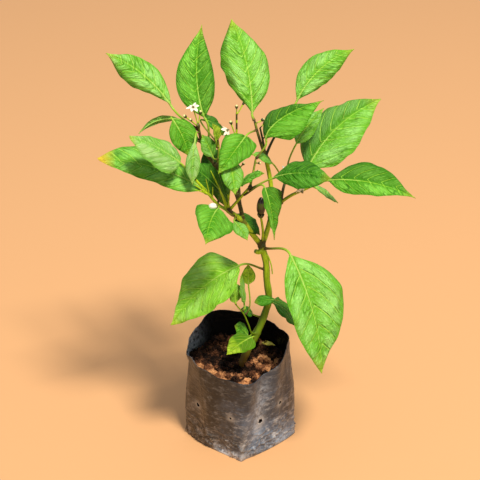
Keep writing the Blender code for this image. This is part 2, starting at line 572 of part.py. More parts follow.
def blade_surface(leaf, t, s, phase):
    """Points of the blade on a grid of shares t along it and s across it, from -1 to 1."""
    middle, _, side, up = blade_frame(leaf, t)
    (belly_l, belly_r), (point_l, point_r) = pair(leaf["belly"]), pair(leaf["point"])
    left = half_width(t, belly_l, point_l) * (1 - leaf["skew"])
    right = half_width(t, belly_r, point_r) * (1 + leaf["skew"])
    half = leaf["wide"] / 2 * np.where(s[None] < 0, left[:, None], right[:, None])
    half = np.maximum(half, np.where(t < 0.5, STALK_WIDE / 2, 0.4)[:, None])
    fold = np.radians(np.where(s < 0, leaf["fold"][0], leaf["fold"][1]))[None]
    across = np.abs(s)[None]
    wave = np.sin(2 * math.pi * leaf["waves"] * t[:, None] + phase + np.where(s < 0, 1.9, 0)[None])
    wave = wave * leaf["wave"] * leaf["wide"] / 2 * across**1.5 * np.minimum(1, half / (0.15 * leaf["wide"]))
    sideways = half * s[None] * np.cos(fold)
    upwards = half * (across * np.sin(fold) - leaf["curl"] * across**2) + wave
    return middle[:, None] + sideways[..., None] * side[:, None] + upwards[..., None] * up[:, None]


def girth(at, name, radius):
    """Radius of a branch at a point of its axis, with the swelling of its nodes."""
    for node, size in NODES:
        centre, direction, _, _ = spot(node)
        along_node = abs(float((at - centre) @ direction)) / (NODE_LENGTH / 2 * size)
        if node[0] == name and along_node < 1.0:
            radius = max(radius, size * math.sqrt(1 - along_node**2))
    return radius


def stalk_rows(leaf, count):
    """Midline points of the leaf's stalk, from just clear of its branch to the blade, and its directions."""
    at, branch, radius, at_end = spot(leaf["foot"])
    base, direction, side, _ = (part[0] for part in blade_frame(leaf, np.array([0.0])))
    leaving = unit(np.asarray(leaf["out"], float)) if leaf["out"] else unit(base - at)
    cosine = float(leaving @ branch)
    corner = math.hypot(STALK_WIDE, STALK_THICK) / 2
    if at_end and cosine > 0.5:
        start = at + branch * 1.2 * GAP + leaving * corner * math.sqrt(max(0.0, 1 - cosine**2))
    else:
        clear = girth(at, leaf["foot"][0], radius) + 1.3 * GAP + corner * abs(cosine)
        start = at + unit(leaving - cosine * branch) * clear
    reach = np.linalg.norm(base - start)
    ends = np.array([start, start + leaving * reach * 0.35, base - direction * reach * 0.35, base])
    u = np.linspace(0, 1, count + 1)[:-1, None]
    points = ((1 - u) ** 3 * ends[0] + 3 * u * (1 - u) ** 2 * ends[1] + 3 * u**2 * (1 - u) * ends[2] + u**3 * ends[3])
    ahead = unit(np.diff(np.vstack([points, base]), axis=0))
    sides = unit(side - (ahead @ side)[:, None] * ahead)
    return points, sides


def make_leaf(name, leaf, phase):
    """Blade and stalk as one waved strip, split into triangles before both its faces get their thickness."""
    leaf = {**LEAF_DEFAULTS, **leaf}
    blade_rows, columns = next(grid[1:] for grid in LEAF_GRIDS if leaf["long"] > grid[0])
    t, s = np.linspace(0, 1, blade_rows + 1), np.linspace(-1, 1, columns + 1)
    blade = blade_surface(leaf, t, s, phase)
    points, sides = stalk_rows(leaf, STALK_ROWS)
    stalk = points[:, None] + (s * STALK_WIDE / 2)[None, :, None] * sides[:, None]
    surface = np.concatenate([stalk, blade])
    rows = len(surface) - 1
    bm = bmesh.new()
    bmesh.ops.create_grid(bm, x_segments=columns, y_segments=rows, size=0.5)
    places = [(round((v.co.y + 0.5) * rows), round((v.co.x + 0.5) * columns)) for v in bm.verts]
    for vert, place in zip(bm.verts, places):
        vert.co = surface[place] * MM
    mesh = bpy.data.meshes.new(f"leaf_{name}")
    bm.to_mesh(mesh)
    bm.free()
    obj = bpy.data.objects.new(f"leaf_{name}", mesh)
    bpy.context.scene.collection.objects.link(obj)
    group = obj.vertex_groups.new(name="thickness")
    for index, (row, column) in enumerate(places):
        on_midrib = column == columns // 2 and row < rows - 1
        thick = STALK_THICK if row < STALK_ROWS else MIDRIB_THICK if on_midrib else BLADE_THICK
        group.add([index], thick / STALK_THICK, "REPLACE")
    obj.modifiers.new("Split", "TRIANGULATE")
    body = obj.modifiers.new("Body", "SOLIDIFY")
    body.thickness = STALK_THICK * MM
    body.offset = 0.0
    body.vertex_group = group.name
    finish(obj, "leaf", 0.5)


def make_fallen_leaf():
    """Small curled leaf that lies on the soil, its underside just clear of the highest ground below it."""
    x, y = FALLEN_LEAF["place"]
    leaf = {**LEAF_DEFAULTS, "turn": FALLEN_LEAF["turn"], "rise": 0, "long": FALLEN_LEAF["long"],
            "wide": FALLEN_LEAF["wide"], "base": (x - 6, y + 2, 0), "bow": 0.12, "curl": 0.25, "belly": 0.8, "wave": 0.0}
    t, s = np.linspace(0, 1, 7), np.linspace(-1, 1, 5)
    surface = blade_surface(leaf, t, s, 0.0)
    ground = SOIL_TOP + soil_relief(surface[..., 0], surface[..., 1])
    surface[..., 2] += (ground - surface[..., 2]).max() + BLADE_THICK / 2 + GAP + 0.6
    bm = bmesh.new()
    bmesh.ops.create_grid(bm, x_segments=4, y_segments=6, size=0.5)
    for vert in bm.verts:
        vert.co = surface[round((vert.co.y + 0.5) * 6), round((vert.co.x + 0.5) * 4)] * MM
    mesh = bpy.data.meshes.new("fallen_leaf")
    bm.to_mesh(mesh)
    bm.free()
    obj = bpy.data.objects.new("fallen_leaf", mesh)
    bpy.context.scene.collection.objects.link(obj)
    obj.modifiers.new("Split", "TRIANGULATE")
    body = obj.modifiers.new("Body", "SOLIDIFY")
    body.thickness = BLADE_THICK * MM
    body.offset = 0.0
    finish(obj, "dry_leaf", 0.7)


for old in list(bpy.data.objects):
    bpy.data.objects.remove(old)
PLANT = bpy.data.collections.new("potted_chilli_pepper_plant")
bpy.context.scene.collection.children.link(PLANT)
make_bag()
make_soil()
make_stem()
for leaf_number, (leaf_name, leaf_values) in enumerate(LEAVES.items()):
    make_leaf(leaf_name, leaf_values, phase=1.7 * leaf_number)
for flower_name in FLOWERS:
    make_flower(flower_name)
make_white_bud()
make_fruit()
make_fallen_leaf()
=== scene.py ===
import math

import bpy
import numpy as np
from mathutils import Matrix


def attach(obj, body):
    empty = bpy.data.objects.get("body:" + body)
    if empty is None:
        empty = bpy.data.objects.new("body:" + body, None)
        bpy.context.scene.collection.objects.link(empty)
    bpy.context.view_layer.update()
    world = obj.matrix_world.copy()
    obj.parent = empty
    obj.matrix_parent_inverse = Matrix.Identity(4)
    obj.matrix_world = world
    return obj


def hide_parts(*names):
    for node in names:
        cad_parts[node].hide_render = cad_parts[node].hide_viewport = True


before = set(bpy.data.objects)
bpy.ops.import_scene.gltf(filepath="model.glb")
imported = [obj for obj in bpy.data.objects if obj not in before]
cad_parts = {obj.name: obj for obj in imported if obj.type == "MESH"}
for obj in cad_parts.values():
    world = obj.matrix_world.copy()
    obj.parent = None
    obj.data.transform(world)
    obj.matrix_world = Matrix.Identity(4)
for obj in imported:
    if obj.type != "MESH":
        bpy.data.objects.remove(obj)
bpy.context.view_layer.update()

mm = 0.001
up = np.array([0.0, 0.0, 1.0])


def toLinear(code):
    # sRGB hex to linear RGBA: c / 12.92 where c is dark, ((c + 0.055) / 1.055) ^ 2.4 elsewhere
    c = np.array([int(code[i:i + 2], 16) / 255 for i in (1, 3, 5)])
    return (*np.where(c <= 0.04045, c / 12.92, ((c + 0.055) / 1.055) ** 2.4).tolist(), 1.0)


def setInputs(tree, node, inputs):
    # a node or an output given for a socket is linked to it, and a hex colour or a number becomes its value
    for key, value in inputs.items():
        if isinstance(value, bpy.types.Node):
            value = next(socket for socket in value.outputs if socket.enabled)
        if isinstance(value, bpy.types.NodeSocket):
            tree.links.new(value, node.inputs[key])
        else:
            node.inputs[key].default_value = toLinear(value) if isinstance(value, str) else value


def addNode(tree, kind, inputs=None, stops=None, **settings):
    # one shader node with its links; settings are its own, and stops are its ramp's (place, hex or grey)
    node = tree.nodes.new("ShaderNode" + kind)
    for key, value in settings.items():
        setattr(node, key, value)
    for i, (place, colour) in enumerate(stops or ()):
        mark = node.color_ramp.elements[i] if i < 2 else node.color_ramp.elements.new(place)
        mark.position = place
        mark.color = toLinear(colour) if isinstance(colour, str) else (colour, colour, colour, 1.0)
    setInputs(tree, node, inputs or {})
    return node


def newMaterial(name):
    # an empty node tree with its output and one Principled shader
    material = bpy.data.materials.new(name)
    material.use_nodes = True
    material.node_tree.nodes.clear()
    output = addNode(material.node_tree, "OutputMaterial")
    shader = addNode(material.node_tree, "BsdfPrincipled")
    material.node_tree.links.new(shader.outputs[0], output.inputs[0])
    return material, material.node_tree, shader, output


def unit(vectors):
    # vectors divided by their own length
    return vectors / np.linalg.norm(vectors, axis=-1, keepdims=True)


def ease(low, high, value):
    # 0 below low, 1 above high, 3u^2 - 2u^3 between
    u = np.clip((value - low) / (high - low), 0, 1)
    return u * u * (3 - 2 * u)


def ripple(points, size, seed, count=16):
    # seeded sum of sine waves that run every way through space, with wavelengths around size; about -2 to 2
    draw = np.random.default_rng(seed)
    ways = unit(draw.normal(size=(count, 3))) * (2 * math.pi / size * draw.uniform(0.6, 1.5, (count, 1)))
    return np.sin(points @ ways.T + draw.uniform(0, 2 * math.pi, count)).sum(axis=-1) / math.sqrt(count / 2)


def creases(points, size, seed, sharp=0.2):
    # thin ridges where a ripple crosses zero: exp(-(ripple / sharp)^2)
    return np.exp(-(ripple(points, size, seed) / sharp) ** 2)


def skin(rings, **marks):
    # closed skin over rings of points: quads from each ring to the next, and a fan to the middle of the first
    # and last; it is turned inside out if its signed volume is negative
    rows, count = rings.shape[:2]
    corner = np.arange(rows * count).reshape(rows, count)
    after = np.roll(corner, -1, axis=1)
    quads = np.stack([corner[:-1], after[:-1], after[1:], corner[1:]], axis=-1).reshape(-1, 4)
    first = np.stack([after[0], corner[0], np.full(count, rows * count)], axis=-1)
    last = np.stack([corner[-1], after[-1], np.full(count, rows * count + 1)], axis=-1)
    fans = np.concatenate([first, last])

    def withPoles(values):
        values = np.asarray(values, float).reshape(rows, count, -1)
        return np.concatenate([values.reshape(rows * count, -1), values[[0, -1]].mean(axis=1)])

    points = withPoles(rings)
    a, b, c, d = (points[quads[:, i]] for i in range(4))
    volume = (a * np.cross(b, c)).sum() + (a * np.cross(c, d)).sum()
    a, b, c = (points[fans[:, i]] for i in range(3))
    if volume + (a * np.cross(b, c)).sum() < 0:
        quads, fans = quads[:, ::-1], fans[:, ::-1]
    return dict(points=points, quads=quads, fans=fans,
                marks={key: withPoles(value) for key, value in marks.items()})


def aim(direction):
    # two directions at right angles to each other and to one or more given ones
    side = unit(np.cross(direction, [0.31, 0.87, 0.38]))
    return side, np.cross(direction, side)


def sweep(path, radii, sides, lobes=0, depth=0.0, **marks):
    # round profile along a path: centre + radius * (1 + depth cos(lobes a)) * (side cos a + third sin a)
    path = np.asarray(path, float)
    side, third = aim(unit(np.gradient(path, axis=0)))
    a = np.arange(sides) * 2 * math.pi / sides
    out = side[:, None] * np.cos(a)[:, None] + third[:, None] * np.sin(a)[:, None]
    reach = np.asarray(radii, float)[:, None] * (1 + depth * np.cos(lobes * a))
    spread = {key: np.repeat(np.asarray(value, float).reshape(len(path), 1, -1), sides, axis=1)
              for key, value in marks.items()}
    return skin(path[:, None] + reach[..., None] * out, **spread)


def egg(centre, direction, radius, length, sides=12, rows=9, blunt=0.0, lobes=0, depth=0.0, **marks):
    # egg along a direction: radius * cos(v) * (1 - blunt sin(v)) at length / 2 * sin(v) from its centre
    v = np.linspace(-1.52, 1.52, rows)
    path = np.asarray(centre, float) + np.sin(v)[:, None] * unit(np.asarray(direction, float)) * length / 2
    marks = {key: np.repeat([value], rows, axis=0) for key, value in marks.items()}
    return sweep(path, radius * np.cos(v) * (1 - blunt * np.sin(v)), sides, lobes, depth, **marks)


def toMesh(name, parts):
    # the parts' points in metres and their faces in one mesh, with their marks as point attributes
    offsets = np.cumsum([0] + [len(part["points"]) for part in parts])
    faces = []
    for part, offset in zip(parts, offsets):
        faces += (part["quads"] + offset).tolist() + (part["fans"] + offset).tolist()
    mesh = bpy.data.meshes.new(name)
    mesh.from_pydata((np.concatenate([part["points"] for part in parts]) * mm).tolist(), [], faces)
    for key in parts[0]["marks"]:
        setMark(mesh, key, np.concatenate([part["marks"][key] for part in parts]))
    mesh.shade_smooth()
    return mesh


def setMark(mesh, key, values):
    # one value or one vector a point, as an attribute that the materials read
    values = np.asarray(values, np.float32).reshape(len(mesh.vertices), -1)
    kind, field = ("FLOAT", "value") if values.shape[1] == 1 else ("FLOAT_VECTOR", "vector")
    mesh.attributes.new(key, kind, "POINT").data.foreach_set(field, values.ravel())


def values(mesh, field="co"):
    # the points of a mesh, or their normals, as rows of three
    numbers = np.empty(len(mesh.vertices) * 3, np.float32)
    mesh.vertices.foreach_get(field, numbers)
    return numbers.reshape(-1, 3)


def place(name, mesh, material, slot, *nodes):
    # puts a finished mesh in the scene, in its material, in the stead of its CAD nodes
    mesh.materials.clear()
    mesh.materials.append(material)
    piece = bpy.data.objects.new(name, mesh)
    bpy.context.scene.collection.objects.link(piece)
    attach(piece, "root")
    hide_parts(*nodes)


def bake(name, mesh, *modifiers):
    # the mesh with modifiers applied: each is its kind and its settings
    carrier = bpy.data.objects.new(name, mesh)
    bpy.context.scene.collection.objects.link(carrier)
    for kind, settings in modifiers:
        modifier = carrier.modifiers.new(kind, kind)
        for key, value in settings.items():
            setattr(modifier, key, value)
    bpy.context.view_layer.update()
    baked = bpy.data.meshes.new_from_object(carrier.evaluated_get(bpy.context.evaluated_depsgraph_get()))
    bpy.data.objects.remove(carrier)
    baked.name = name
    return baked


# The bag: a tube of film, folded flat under its base, open at its rim.
bag = dict(
    baseHalf=(52.8, 47.5), sharpness=1.18, belly=0.5,
    # angle, distance out, height
    rim=((-172, 50, 95), (-125, 45, 89), (-84, 47, 86), (-58, 40, 87), (-36, 41, 93), (-14, 43.5, 100),
         (6, 44.5, 107), (50, 41, 107), (90, 47, 110), (120, 53, 111), (148, 50, 104)),
    film=0.4, dents=0.8, wrinkles=1.2, fineWrinkles=0.75,
    holes=((-157, 0.47, 2.0), (-103, 0.52, 1.1), (-62, 0.42, 2.3), (-28, 0.5, 1.6),
           (24, 0.42, 2.0), (72, 0.5, 1.8), (118, 0.44, 1.8), (163, 0.5, 1.6)),  # angle, level, radius
    sides=264, levels=104,
)


def roundValue(angle, column):
    # a rim value at an angle: cubic through the rim's points, closed round the bag
    places, values = (np.array([p[i] for p in bag["rim"]], float) for i in (0, column))
    places = np.concatenate((places[-2:] - 360, places, places[:2] + 360))
    values = np.concatenate((values[-2:], values, values[:2]))
    angle = (np.asarray(angle, float) + 180) % 360 - 180
    i = np.searchsorted(places, angle, side="right") - 1
    span = places[i + 1] - places[i]
    u = (angle - places[i]) / span
    slopeIn = (values[i + 1] - values[i - 1]) / (places[i + 1] - places[i - 1]) * span
    slopeOut = (values[i + 2] - values[i]) / (places[i + 2] - places[i]) * span
    return ((2 * u**3 - 3 * u**2 + 1) * values[i] + (u**3 - 2 * u**2 + u) * slopeIn
            + (3 * u**2 - 2 * u**3) * values[i + 1] + (u**3 - u**2) * slopeOut)


def bagWall(angle, level):
    # outer wall of the bag at an angle in degrees and a level from 0 at its base to 1 at its rim: a rounded
    # diamond turns into the rim's loop, the middle swells by a sine, and dents and ridged wrinkles are added
    a = np.radians(angle)
    halfX, halfY = bag["baseHalf"]
    power = bag["sharpness"]
    base = (np.abs(np.cos(a) / halfX) ** power + np.abs(np.sin(a) / halfY) ** power) ** (-1 / power)
    folds = (0.8 * np.sin(6 * a + 4 * level) + 0.5 * np.sin(9 * a - 5 * level)) * np.minimum(1, 6 * level)
    radius = (1 - level) * base + level * roundValue(angle, 1) + bag["belly"] * np.sin(math.pi * level) + folds
    height = level * roundValue(angle, 2)
    round3 = np.stack([48 * np.cos(a), 48 * np.sin(a), height * 0.4], axis=-1)
    turned = np.stack([30 * np.cos(a), 30 * np.sin(a), height * 1.3], axis=-1)
    grow = ease(0.0, 0.06, level)
    foot, lip = ease(0.42, 0.06, level), ease(0.8, 1.0, level)
    radius += grow * bag["dents"] * ripple(round3, 34, 3)
    broad = creases(round3, 26, 5) + creases(turned, 22, 6, 0.16) - 0.3
    slight = creases(turned, 9, 8) + creases(round3, 7, 12) - 0.3
    radius += grow * bag["wrinkles"] * (0.25 + foot) * broad
    radius += grow * bag["fineWrinkles"] * (foot + 0.4 * lip) * slight
    ridge = (angle + 90 - 14 * level) / (4 + 4 * level)
    radius += 2.2 * np.exp(-ridge**2) * (1 - 0.5 * level)  # the fold up from the front corner to the rim
    radius += 0.8 * np.exp(-((angle - 3) / 7) ** 2) * level  # the fold at the right
    # turned out at the rim's left end
    flap = np.exp(-(((angle + 355) % 360 - 180) / 8) ** 2) * ease(0.84, 1.0, level)
    radius += 4.5 * flap
    height += 0.45 * ripple(round3 * [1, 1, 0], 18, 9) * lip - 2 * flap
    return radius, height


def bagPoint(angle, level, inset=0.0):
    # a point of the bag's wall, moved inwards by inset
    radius, height = bagWall(angle, level)
    a = np.radians(angle)
    return np.stack([(radius - inset) * np.cos(a), (radius - inset) * np.sin(a), height], axis=-1)


def polytheneFilm():
    # Black low-density polythene, blown film. It is thin and half glossy; dry soil dust dulls it, most of all
    # low down, and handling has left pale scratches. The dust's colour runs from brown on the left to
    # blue-grey on the right, painted reflection of the warm ground and of the sky, and blue-grey smears on its
    # folds and low corners are partly scuffs and partly painted sheen; inside, the wall's left end has painted
    # light.
    material, tree, shader, _ = newMaterial("polytheneFilm")
    where = addNode(tree, "TexCoord").outputs["Object"]
    film = addNode(tree, "SeparateXYZ",
                   {0: addNode(tree, "Attribute", attribute_name="filmMap").outputs["Vector"]})
    spread = addNode(tree, "SeparateXYZ", {0: where})
    # 30 mm patches
    wide = addNode(tree, "TexNoise", {"Vector": where, "Scale": 34.0, "Detail": 5.0, "Roughness": 0.6})
    # 4 mm smears
    fine = addNode(tree, "TexNoise", {"Vector": where, "Scale": 260.0, "Detail": 6.0, "Roughness": 0.7})
    level = addNode(tree, "Mapping", {0: where, 3: (0.22, 0.22, 1.8)})
    # 1 mm scratches
    scratch = addNode(tree, "TexNoise", {"Vector": level, "Scale": 520.0, "Detail": 3.0, "Roughness": 0.75})
    low = addNode(tree, "MapRange", {0: spread.outputs[2], 1: 0.0, 2: 0.07, 3: 0.2, 4: 0.0})
    dust = addNode(tree, "Math", {0: wide, 1: low}, operation="ADD")
    dust = addNode(tree, "Math", {0: fine, 1: 0.5, 2: dust}, operation="MULTIPLY_ADD")
    cover = addNode(tree, "MapRange", {0: dust, 1: 0.74, 2: 1.06, 3: 0.04, 4: 0.36})
    # side runs from 0 at the bag's left to 1 at its right, with a little noise; it steers painted reflection
    # and painted light
    side = addNode(tree, "Math", {0: wide, 1: 0.05, 2: spread.outputs[0]}, operation="MULTIPLY_ADD")
    side = addNode(tree, "MapRange", {0: side, 1: -0.042, 2: 0.045})
    # painted light: a little more pale dust on the right, where the key light falls
    cover = addNode(tree, "Math", {0: side, 1: 0.09, 2: cover}, operation="MULTIPLY_ADD")
    outside = addNode(tree, "Math", {0: 1.0, 1: film.outputs[1]}, operation="SUBTRACT")
    cover = addNode(tree, "Math", {0: cover, 1: outside}, operation="MULTIPLY")
    # the dust's colour follows side: brown dust with painted reflection, warm on the left and blue-grey on the
    # right
    dustAndReflection = addNode(tree, "ValToRGB", {0: side},
                   stops=((0.0, "#7c4a1c"), (1.0, "#7e92ae"), (0.2, "#463c34"), (0.5, "#666668")))
    colour = addNode(tree, "Mix", {0: cover, 6: "#0b0a0a", 7: dustAndReflection}, data_type="RGBA")
    dabs = addNode(tree, "Mapping", {0: where, 3: (0.7, 0.7, 1.15)})
    # 6 mm dabs
    mottle = addNode(tree, "TexNoise", {"Vector": dabs, "Scale": 160.0, "Detail": 9.0, "Roughness": 0.7})
    mottle = addNode(tree, "ValToRGB", {0: mottle}, stops=((0.53, 0.0), (0.64, 1.0)))
    settled = addNode(tree, "Math", {0: low, 1: 1.9, 2: 0.11}, operation="MULTIPLY_ADD")
    settled = addNode(tree, "Math", {0: settled, 1: outside}, operation="MULTIPLY")
    settled = addNode(tree, "Math", {0: mottle, 1: settled}, operation="MULTIPLY")
    # the dabs' colour follows side too: painted reflection, warmer on the left and cooler on the right
    pale = addNode(tree, "Mix", {0: side, 6: "#a8998a", 7: "#d4d6da"}, data_type="RGBA")
    colour = addNode(tree, "Mix", {0: settled, 6: colour, 7: pale}, data_type="RGBA")
    # painted sheen and scuffs: blue-grey smears where filmMap's third channel is set; inside the bag, painted
    # light on the dusty left end of the wall
    sheenAndScuffSmear = addNode(tree, "Math", {0: fine, 1: 4.0, 2: -1.35}, operation="MULTIPLY_ADD", use_clamp=True)
    sheenAndScuffSmear = addNode(tree, "Math", {0: sheenAndScuffSmear, 1: film.outputs[2]}, operation="MULTIPLY")
    colour = addNode(tree, "Mix", {0: sheenAndScuffSmear, 6: colour, 7: "#b8c0cc"}, data_type="RGBA")
    lines = addNode(tree, "ValToRGB", {0: scratch}, stops=((0.56, 0.0), (0.72, 1.0)))
    scraped = addNode(tree, "Math", {0: low, 1: 1.8, 2: 0.16}, operation="MULTIPLY_ADD")
    lines = addNode(tree, "Math", {0: lines, 1: scraped}, operation="MULTIPLY")
    lines = addNode(tree, "Math", {0: film.outputs[0], 1: 0.34, 2: lines}, operation="MULTIPLY_ADD")
    lines = addNode(tree, "Math", {0: lines, 1: outside}, operation="MULTIPLY", use_clamp=True)
    colour = addNode(tree, "Mix", {0: lines, 6: colour, 7: "#c9bfb2"}, data_type="RGBA")
    bump = addNode(tree, "Math", {0: fine, 1: wide}, operation="ADD")
    lumps = addNode(tree, "Bump", {"Height": bump, "Strength": 0.3, "Distance": 0.0008})
    rough = addNode(tree, "MapRange", {0: cover, 1: 0.0, 2: 0.7, 3: 0.26, 4: 0.46})
    # soil has dulled the film inside
    dulled = addNode(tree, "MapRange", {0: film.outputs[1], 3: 0.42, 4: 0.1})
    setInputs(tree, shader, {"Base Color": colour, "Roughness": rough, "Normal": lumps,
                             "Specular IOR Level": dulled, "IOR": 1.51})
    return material


def filmWear(points, normals):
    # what the film bears at its points: wear along folds and round holes; 1 inside, less at the left end of
    # the inner wall; and outside, scuffs and painted sheen, inside, the dust and painted light of that left
    # end
    angle = np.degrees(np.arctan2(points[:, 1], points[:, 0]))
    level = np.clip(points[:, 2] / roundValue(angle, 2), 0, 1)
    a = np.radians(angle)
    turned = np.stack([30 * np.cos(a), 30 * np.sin(a), 1.3 * points[:, 2]], axis=-1)
    folded = np.clip(creases(turned, 22, 6, 0.06) + 0.7 * creases(turned, 9, 8, 0.1), 0, 1)
    worn = folded * ease(0.5, 0.02, level)
    worn += 0.6 * np.exp(-((angle + 90 - 14 * level) / 3) ** 2) * ease(0.6, 0.0, level)
    for around, height, radius in bag["holes"]:
        away = (angle - around) ** 2 * 0.7 + (level - height) ** 2 * 9000
        worn += 1.4 * np.exp(-away / (radius + 2.6) ** 2)
    outward = normals[:, 0] * np.cos(a) + normals[:, 1] * np.sin(a)
    inside = ((outward < 0) & (points[:, 2] > bag["film"])) * 1.0
    # dust inside, at the rim's left end, with painted light where the key light falls on that wall
    dustAndLitLeftEnd = np.exp(-((np.abs(angle) - 170) / 22) ** 2) * ease(0.66, 0.86, level)
    # painted sheen on the film just right of the front fold
    slantedSheen = np.exp(-((angle + 70 - 10 * level) / 9) ** 2)
    # the first term is painted sheen; the others are scuffs low at the front corner and at the right
    sheenAndScuffs = (0.4 * slantedSheen * ease(0.1, 0.4, level) * ease(1.0, 0.8, level)
              + 1.8 * np.exp(-((angle + 104) / 22) ** 2) * ease(0.13, 0.0, level)
              + 0.3 * np.exp(-((angle + 22) / 30) ** 2) * ease(0.3, 0.05, level))
    dusty = inside * (1 - 0.6 * dustAndLitLeftEnd)
    return np.stack([np.clip(worn, 0, 1), dusty, np.where(inside > 0, dustAndLitLeftEnd, sheenAndScuffs)], axis=-1)


def makeBag():
    # rings across the underside, up the outside, down the inside and across the floor; then holes are cut
    angles = np.arange(bag["sides"]) * 360 / bag["sides"] - 180
    levels = np.linspace(0, 1, bag["levels"]) ** 0.92
    angle, level = np.meshgrid(angles, levels)
    outer, inner = bagPoint(angle, level), bagPoint(angle, level, bag["film"])
    inner[0, :, 2] = bag["film"]
    flat = [outer[0] * [share, share, 0] for share in (0.3, 0.6, 0.85, 0.97)]
    floor = [inner[0] * [share, share, 1] for share in (0.9, 0.5)]
    mesh = toMesh("bag_film", [skin(np.concatenate([flat, outer, inner[::-1], floor]))])
    cutters = []
    for number, (angle, level, radius) in enumerate(bag["holes"]):
        middle = bagPoint(np.array(float(angle)), np.array(level))
        out = np.array([math.cos(math.radians(angle)), math.sin(math.radians(angle)), 0.0])
        punch = middle + np.linspace(-4, 4, 3)[:, None] * out
        cutters.append(sweep(punch, [radius] * 3, 18, 3 + number % 3, 0.18))
    holes = bpy.data.objects.new("holes", toMesh("holes", cutters))
    bpy.context.scene.collection.objects.link(holes)
    mesh = bake("bag_film", mesh, ("BOOLEAN", dict(object=holes, operation="DIFFERENCE", solver="EXACT")))
    bpy.data.objects.remove(holes)
    setMark(mesh, "filmMap", filmWear(values(mesh) / mm, values(mesh, "normal")))
    mesh.shade_smooth()
    place("bag_film", mesh, polytheneFilm(), "bag_film", "grow_bag")


makeBag()
print("bag made")

# The soil and its crumbs.
soil = dict(
    top=84.0, clear=1.3, rings=110, sides=240, crumbs=900, crumbSize=(0.5, 2.6), bigCrumbs=80,
    bigSize=(2.2, 4.6),
)


def soilHeight(x, y):
    # the CAD soil's swells, sin * cos, with the lumps and pits of crumbly soil over them
    at = np.stack([x, y, 0 * x], axis=-1)
    swell = (1.3 * np.sin(0.13 * x + 0.6) * np.cos(0.11 * y) + 0.9 * np.sin(0.31 * x - 0.27 * y)
             - 1.5 * np.clip(y / 45, 0, 1))
    lumps = 1.3 * np.abs(ripple(at, 11, 21)) + 0.7 * np.abs(ripple(at, 5, 22)) + 0.35 * ripple(at, 2.4, 23)
    return soil["top"] + swell + lumps - 1.6


def dryPlaces(x, y):
    # where crumbs are pale, in broken patches: along the front and left of the rim, and by the stem, where the
    # pale patches are painted sunlight
    at = np.stack([x, y, 0 * x], axis=-1)
    rim = ease(24, 36, np.hypot(x + 2, y)) * ease(2, -16, y) * ease(26, 6, x)
    # painted sunlight: pale patches on the soil by the stem
    beside = 1.2 * np.exp(-((x - 23) ** 2 + (y + 5) ** 2) / 220)
    beside = beside + np.exp(-((x - 19) ** 2 + (y - 36) ** 2) / 90)
    beside = beside + 0.6 * np.exp(-((x + 20) ** 2 + (y - 24) ** 2) / 160)
    return np.clip((rim + beside) * (0.8 + 0.45 * ripple(at, 12, 27)), 0, 1)


def pottingSoil():
    # Moist potting soil, crumbled by hand. It is matt and nearly black, with paler brown crumbs here and there
    # and in patches along the front and left of the rim; by the stem the pale brown patches are painted
    # sunlight.
    material, tree, shader, _ = newMaterial("pottingSoil")
    where = addNode(tree, "TexCoord").outputs["Object"]
    shade = addNode(tree, "Attribute", attribute_name="dry")
    # 8 mm lumps
    lump = addNode(tree, "TexNoise", {"Vector": where, "Scale": 120.0, "Detail": 6.0, "Roughness": 0.65})
    # 0.9 mm grit
    grit = addNode(tree, "TexNoise", {"Vector": where, "Scale": 1100.0, "Detail": 4.0, "Roughness": 0.6})
    # the pale mark read here lightens the soil; by the stem it is painted sunlight
    tone = addNode(tree, "Math", {0: shade.outputs["Fac"], 1: 0.56, 2: lump}, operation="MULTIPLY_ADD")
    mixed = addNode(tree, "Math", {0: grit, 1: 0.6, 2: tone}, operation="MULTIPLY_ADD")
    mixed = addNode(tree, "Math", {0: mixed, 1: 0.7}, operation="MULTIPLY")
    colour = addNode(tree, "ValToRGB", {0: mixed}, stops=(
        (0.5, "#070302"), (1.0, "#cc9464"), (0.62, "#20120b"), (0.78, "#6a432c")))
    bump = addNode(tree, "Bump", {"Height": addNode(tree, "Math", {0: grit, 1: lump}, operation="ADD"),
                                  "Strength": 0.9, "Distance": 0.0012})
    setInputs(tree, shader,
              {"Base Color": colour, "Normal": bump, "Roughness": 0.92, "Specular IOR Level": 0.15})
    return material


